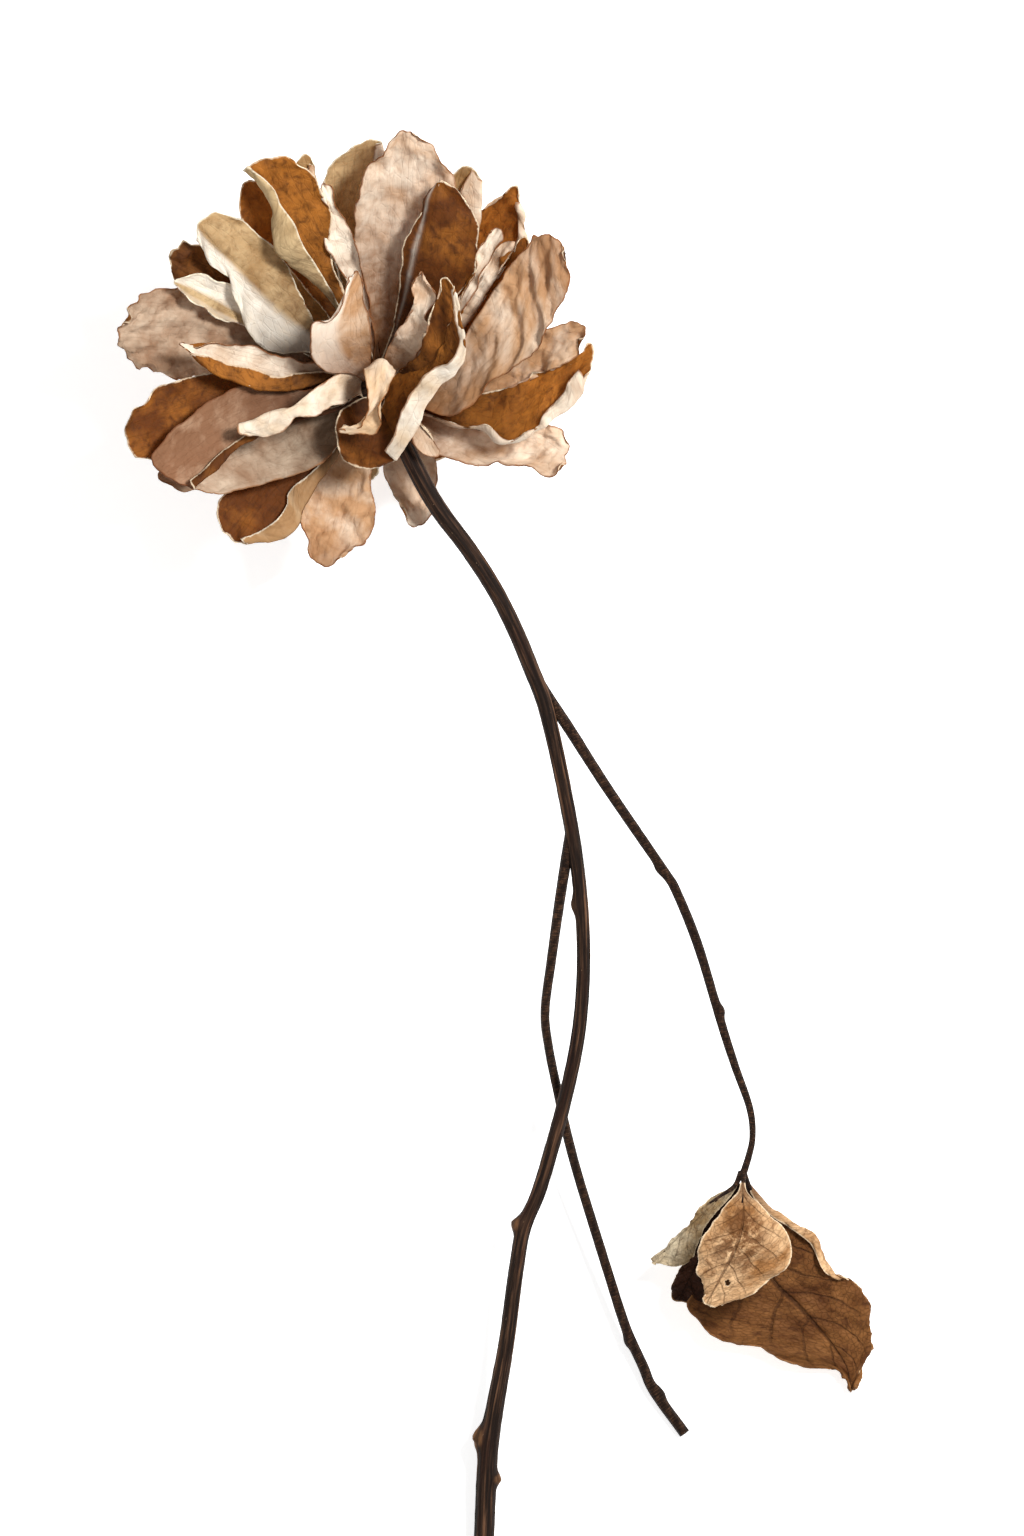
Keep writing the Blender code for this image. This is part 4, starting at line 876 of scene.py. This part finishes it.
# radii: share of the length and mm. knots: share of the length, degrees round it, height and span in mm.
stems = {
    "main": dict(path=[(2, -4), (9.4, -20), (15, -30), (22.5, -40), (29, -50), (34.1, -60), (38.3, -70), (42, -80),
                       (46.5, -100), (49.9, -120), (51.4, -140), (50.4, -160), (46.3, -180), (40.6, -200),
                       (36.6, -210), (34.7, -220), (32, -240), (28.5, -260), (27.3, -270), (26.6, -286),
                       (26.2, -303)],
                 radii=[(0, 2.3), (0.3, 1.9), (0.45, 1.7), (0.65, 1.8), (0.8, 2.0), (0.9, 2.5), (1, 2.6)],
                 knots=[(0.435, 180, 0.9, 2.2), (0.70, 180, 1.6, 2.0), (0.873, 180, 2.0, 3.0), (0.905, 0, 1.3, 1.6)],
                 slope=0.1165, sides=40, grooves=9),
    "leafy": dict(path=[(38.3, -70.5, -8.6), (43, -78, -10.2), (47.7, -85, -11), (57.3, -100, -12),
                        (71, -120, -13.3), (74.7, -126, -13.6), (80.3, -140, -14.6), (86.1, -159.5, -15.8),
                        (89.5, -170, -16.5), (93, -180, -17.1), (93.8, -187, -17.5), (92.9, -192, -17.7),
                        (91.2, -197.4, -18)],
                  radii=[(0, 1.5), (0.3, 1.25), (0.75, 1.1), (0.93, 0.8), (1, 0.9)],
                  knots=[(0.42, 200, 0.5, 1.5), (0.695, 20, 0.7, 1.5)], slope=0, sides=28, grooves=6),
    "bare": dict(path=[(48.4, -110, -12.8), (46.9, -119, -14.8), (45.2, -130, -17.3), (43.4, -143, -20.3),
                       (41.8, -156, -23), (42.7, -165, -24.6), (44.7, -175, -26.2), (47.6, -188, -27.7),
                       (50.9, -200, -29), (57.1, -220, -31.5), (61.9, -235, -33.6), (66.3, -245, -34.9),
                       (69.2, -251.5, -35.8), (76.9, -262.2, -36.6)],
                 radii=[(0, 1.4), (0.3, 1.1), (0.7, 1.2), (1, 1.35)],
                 knots=[(0.83, 190, 0.6, 1.5), (0.925, 30, 0.7, 2.0)], slope=0, sides=28, grooves=6),
    # short stalks from the branch's end into the leaves
    "front_stalk": dict(path=[(91.3, -196, -17.9), (91.5, -199, -16.3), (91.1, -204, -13.6)],
                        radii=[(0, 0.8), (0.5, 0.5), (1, 0.3)], knots=[], slope=0, sides=14, grooves=3),
    "left_stalk": dict(path=[(91, -196.2, -18), (89.4, -199.6, -17.2), (86.4, -201.8, -16.6), (83, -204, -16.6)],
                       radii=[(0, 0.8), (0.5, 0.5), (1, 0.25)], knots=[], slope=0, sides=14, grooves=3),
    "big_stalk": dict(path=[(91.5, -196.2, -18.1), (92.8, -199.6, -19.6), (95, -204.5, -22.6)],
                      radii=[(0, 0.8), (0.5, 0.6), (1, 0.35)], knots=[], slope=0, sides=14, grooves=3),
}

bark = {
    "dark": (26, 16, 10), "streak": (100, 70, 50), "patch": (48, 26, 17), "groove": (20, 11, 7),
    "knot": (126, 88, 58), "speck": (150, 120, 92),
    "relief": 0.0004,     # metres
}


def stopsAt(stops, t):
    for (t0, v0), (t1, v1) in zip(stops, stops[1:]):
        if t <= t1:
            return v0 + (v1 - v0) * (t - t0) / (t1 - t0)
    return stops[-1][1]


def waysAlong(points):
    last = len(points) - 1
    return [(points[min(i + 1, last)] - points[max(i - 1, 0)]).normalized() for i in range(last + 1)]


def stemTube(name, shape):    # grooved bark with knots, thicker where a knot sits
    path = [p if len(p) == 3 else (p[0], p[1], p[1] * shape["slope"]) for p in shape["path"]]
    length = curveThrough(path, 2)[1]
    rings = int(length / 0.8)
    spine = curveThrough(path, rings + 1)[0]
    ways = waysAlong(spine)
    side = ways[0].cross(up).normalized()
    bm = bmesh.new()
    barkKey = bm.verts.layers.float_vector.new("flat")
    ridgeKey = bm.verts.layers.float.new("crease")
    knotKey = bm.verts.layers.float.new("knot")
    rows = []
    for i, (point, way) in enumerate(zip(spine, ways)):
        t = i / rings
        side = (side - side.dot(way) * way).normalized()
        lift = side.cross(way)
        base = stopsAt(shape["radii"], t)
        row = []
        for k in range(shape["sides"]):
            turn = 2 * math.pi * k / shape["sides"]
            outward = side * math.cos(turn) + lift * math.sin(turn)
            radius = base
            scar = 0.0
            for place, degrees, height, span in shape["knots"]:
                facing = outward.dot(Vector((math.cos(math.radians(degrees)), math.sin(math.radians(degrees)), 0)))
                away = (t - place) * length / span
                swell = max(facing, 0) ** 2 * math.exp(-away * away)
                radius += height * swell * (1 + 0.35 * wobble(k * 0.7, i * 0.7, 3))
                scar = max(scar, swell * min(height, 1.5))
            groove = math.cos(turn * shape["grooves"] + 2.2 * wobble(t * 6, 0, 5))
            relief = 0.5 * groove + wobble(math.cos(turn) * 3 + 9, math.sin(turn) * 3, i * 0.035) * 0.9
            rough = wobble(k * 0.9, i * 0.35, 17)
            radius += base * (0.07 * relief + 0.035 * rough)
            vert = bm.verts.new(headAt + (point + outward * radius) * mm)
            vert[barkKey] = (math.cos(turn) * base, math.sin(turn) * base, t * length)
            vert[ridgeKey] = relief
            vert[knotKey] = scar
            row.append(vert)
        rows.append(row)
    for low, high in zip(rows, rows[1:]):
        for a, b, c, d in zip(low, low[1:] + low[:1], high[1:] + high[:1], high):
            bm.faces.new((a, b, c, d)).smooth = True
    bm.faces.new(rows[0][::-1])
    bm.faces.new(rows[-1])
    bmesh.ops.recalc_face_normals(bm, faces=bm.faces)
    return pieceFrom(bm, name)


def barkSkin():    # dark bark with paler streaks and ridges, painted shade in the grooves, brown knots and pale specks
    f = Finish("bark")
    flat = f.attribute("flat", "Vector")
    ridge = f.attribute("crease")
    streak = f.noise(f.stretch(flat, (1.4, 1.4, 0.06)), 1.0, 5, 0.62)
    patch = f.noise(f.stretch(flat, (0.3, 0.3, 0.05)), 1.0, 3, 0.55)
    grain = f.noise(f.stretch(flat, (5, 5, 0.5)), 1.0, 4, 0.6)
    speck = f.noise(f.stretch(flat, (1.6, 1.6, 0.7)), 1.0, 2, 0.5).ramp(0.74, 0.8)
    tint = f.mix(streak.ramp(0.44, 0.7), colour(*bark["dark"]), colour(*bark["streak"]))
    tint = f.mix(patch.ramp(0.5, 0.68) * 0.7, tint, colour(*bark["patch"]))
    knot = (f.attribute("knot").ramp(0.35, 0.9) * (0.4 + grain * 0.6)).clamp()
    tint = f.mix(knot, tint, colour(*bark["knot"]))
    # painted shade: the grooves between the ridges are darkened, the ridges keep the bark's colour
    tint = f.mix(ridge.ramp(-0.5, 0.6) * 0.75 + 0.25, colour(*bark["groove"]), tint)
    tint = f.mix(speck * 0.6, tint, colour(*bark["speck"]))
    relief = f.bump(streak * 0.8 + grain * 0.5, 0.8, bark["relief"])
    return f.finish(tint, relief, 0.55 + grain * 0.2, gloss=0.1)


def growStem():
    wood = stemTube("stem_wood", stems["main"])
    helpers = [stemTube(name + "_wood", shape) for name, shape in stems.items() if name != "main"]
    ball = bmesh.new()
    bmesh.ops.create_uvsphere(ball, u_segments=48, v_segments=24, radius=bloom["bulb"] * mm)
    for vert in ball.verts:
        knob = wobble(vert.co.x / mm * 0.7, vert.co.y / mm * 0.7, vert.co.z / mm * 0.7)
        vert.co = headAt + vert.co * (1 + 0.05 * knob)
    helpers.append(pieceFrom(ball, "bulb_wood"))
    for helper in helpers:    # one skin over stem, branches, stalks and bulb
        join = wood.modifiers.new(helper.name, "BOOLEAN")
        join.operation = "UNION"
        join.solver = "EXACT"
        join.object = helper
    view = bpy.context.evaluated_depsgraph_get()
    joined = bpy.data.meshes.new_from_object(wood.evaluated_get(view))
    wood.modifiers.clear()
    wood.data = joined
    for helper in helpers:
        bpy.data.objects.remove(helper, do_unlink=True)
    joined.materials.clear()
    joined.materials.append(barkSkin())
    joined.shade_smooth()
    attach(wood, "root")
    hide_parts("stem")


studio = {
    "frameHeight": 384,     # mm of the floor that the picture's height shows
    "aim": (33.5, -95),     # middle of the picture, from the middle of the bloom
    "lens": 700,            # mm: long, so that the outlines hardly taper
    "sensor": 36,
    "floorSize": 6,         # metres
    "floor": (0.93, 0.93, 0.925, 1),
    "floorSpeck": (0.88, 0.88, 0.88, 1),
    "table": 0.55,          # the floor is lit from inside, so that shadows on it stay faint
    "sky": 0.42,
    # lamps: place from the aim and size in metres
    "key": dict(at=(0.75, 0.5, 1.35), size=0.35, watts=38),
    "fill": dict(at=(-1.0, -0.8, 1.3), size=1.4, watts=6),
}


def softLight(name, light, target):
    lamp = bpy.data.lights.new(name, "AREA")
    lamp.size = light["size"]
    lamp.energy = light["watts"]
    piece = bpy.data.objects.new(name, lamp)
    bpy.context.collection.objects.link(piece)
    piece.location = target + Vector(light["at"])
    piece.rotation_euler = (-Vector(light["at"])).to_track_quat("-Z", "Y").to_euler()


def setStudio():
    scene = bpy.context.scene
    target = headAt + Vector((*studio["aim"], 0)) * mm
    camera = bpy.data.objects.new("camera", bpy.data.cameras.new("camera"))
    bpy.context.collection.objects.link(camera)
    camera.data.lens = studio["lens"]
    camera.data.sensor_width = studio["sensor"]
    camera.data.clip_end = 20
    camera.location = target + up * studio["frameHeight"] * mm * studio["lens"] / studio["sensor"]
    scene.camera = camera
    bpy.ops.mesh.primitive_plane_add(size=studio["floorSize"])
    floor = bpy.context.object
    floor.name = "floor"
    f = Finish("floorPaper")
    soft = f.noise(f.node("ShaderNodeTexCoord", {}, {}, "Object"), 3, 2, 0.5)
    paper = f.mix(soft * 0.04, studio["floor"], studio["floorSpeck"])
    floor.data.materials.append(f.finish(paper, f.bump(soft, 0.02), 0.9, lit=studio["table"]))
    softLight("key", studio["key"], target)
    softLight("fill", studio["fill"], target)
    world = bpy.data.worlds.new("studio")
    scene.world = world
    world.use_nodes = True
    sky = world.node_tree.nodes["Background"]
    sky.inputs["Color"].default_value = (1, 1, 1, 1)
    sky.inputs["Strength"].default_value = studio["sky"]
    scene.view_settings.view_transform = "Standard"


growBloom()
print("petals grown")
growLeaves()
print("leaves grown")
growStem()
print("stem grown")
setStudio()
print("studio set")

bpy.context.view_layer.update()
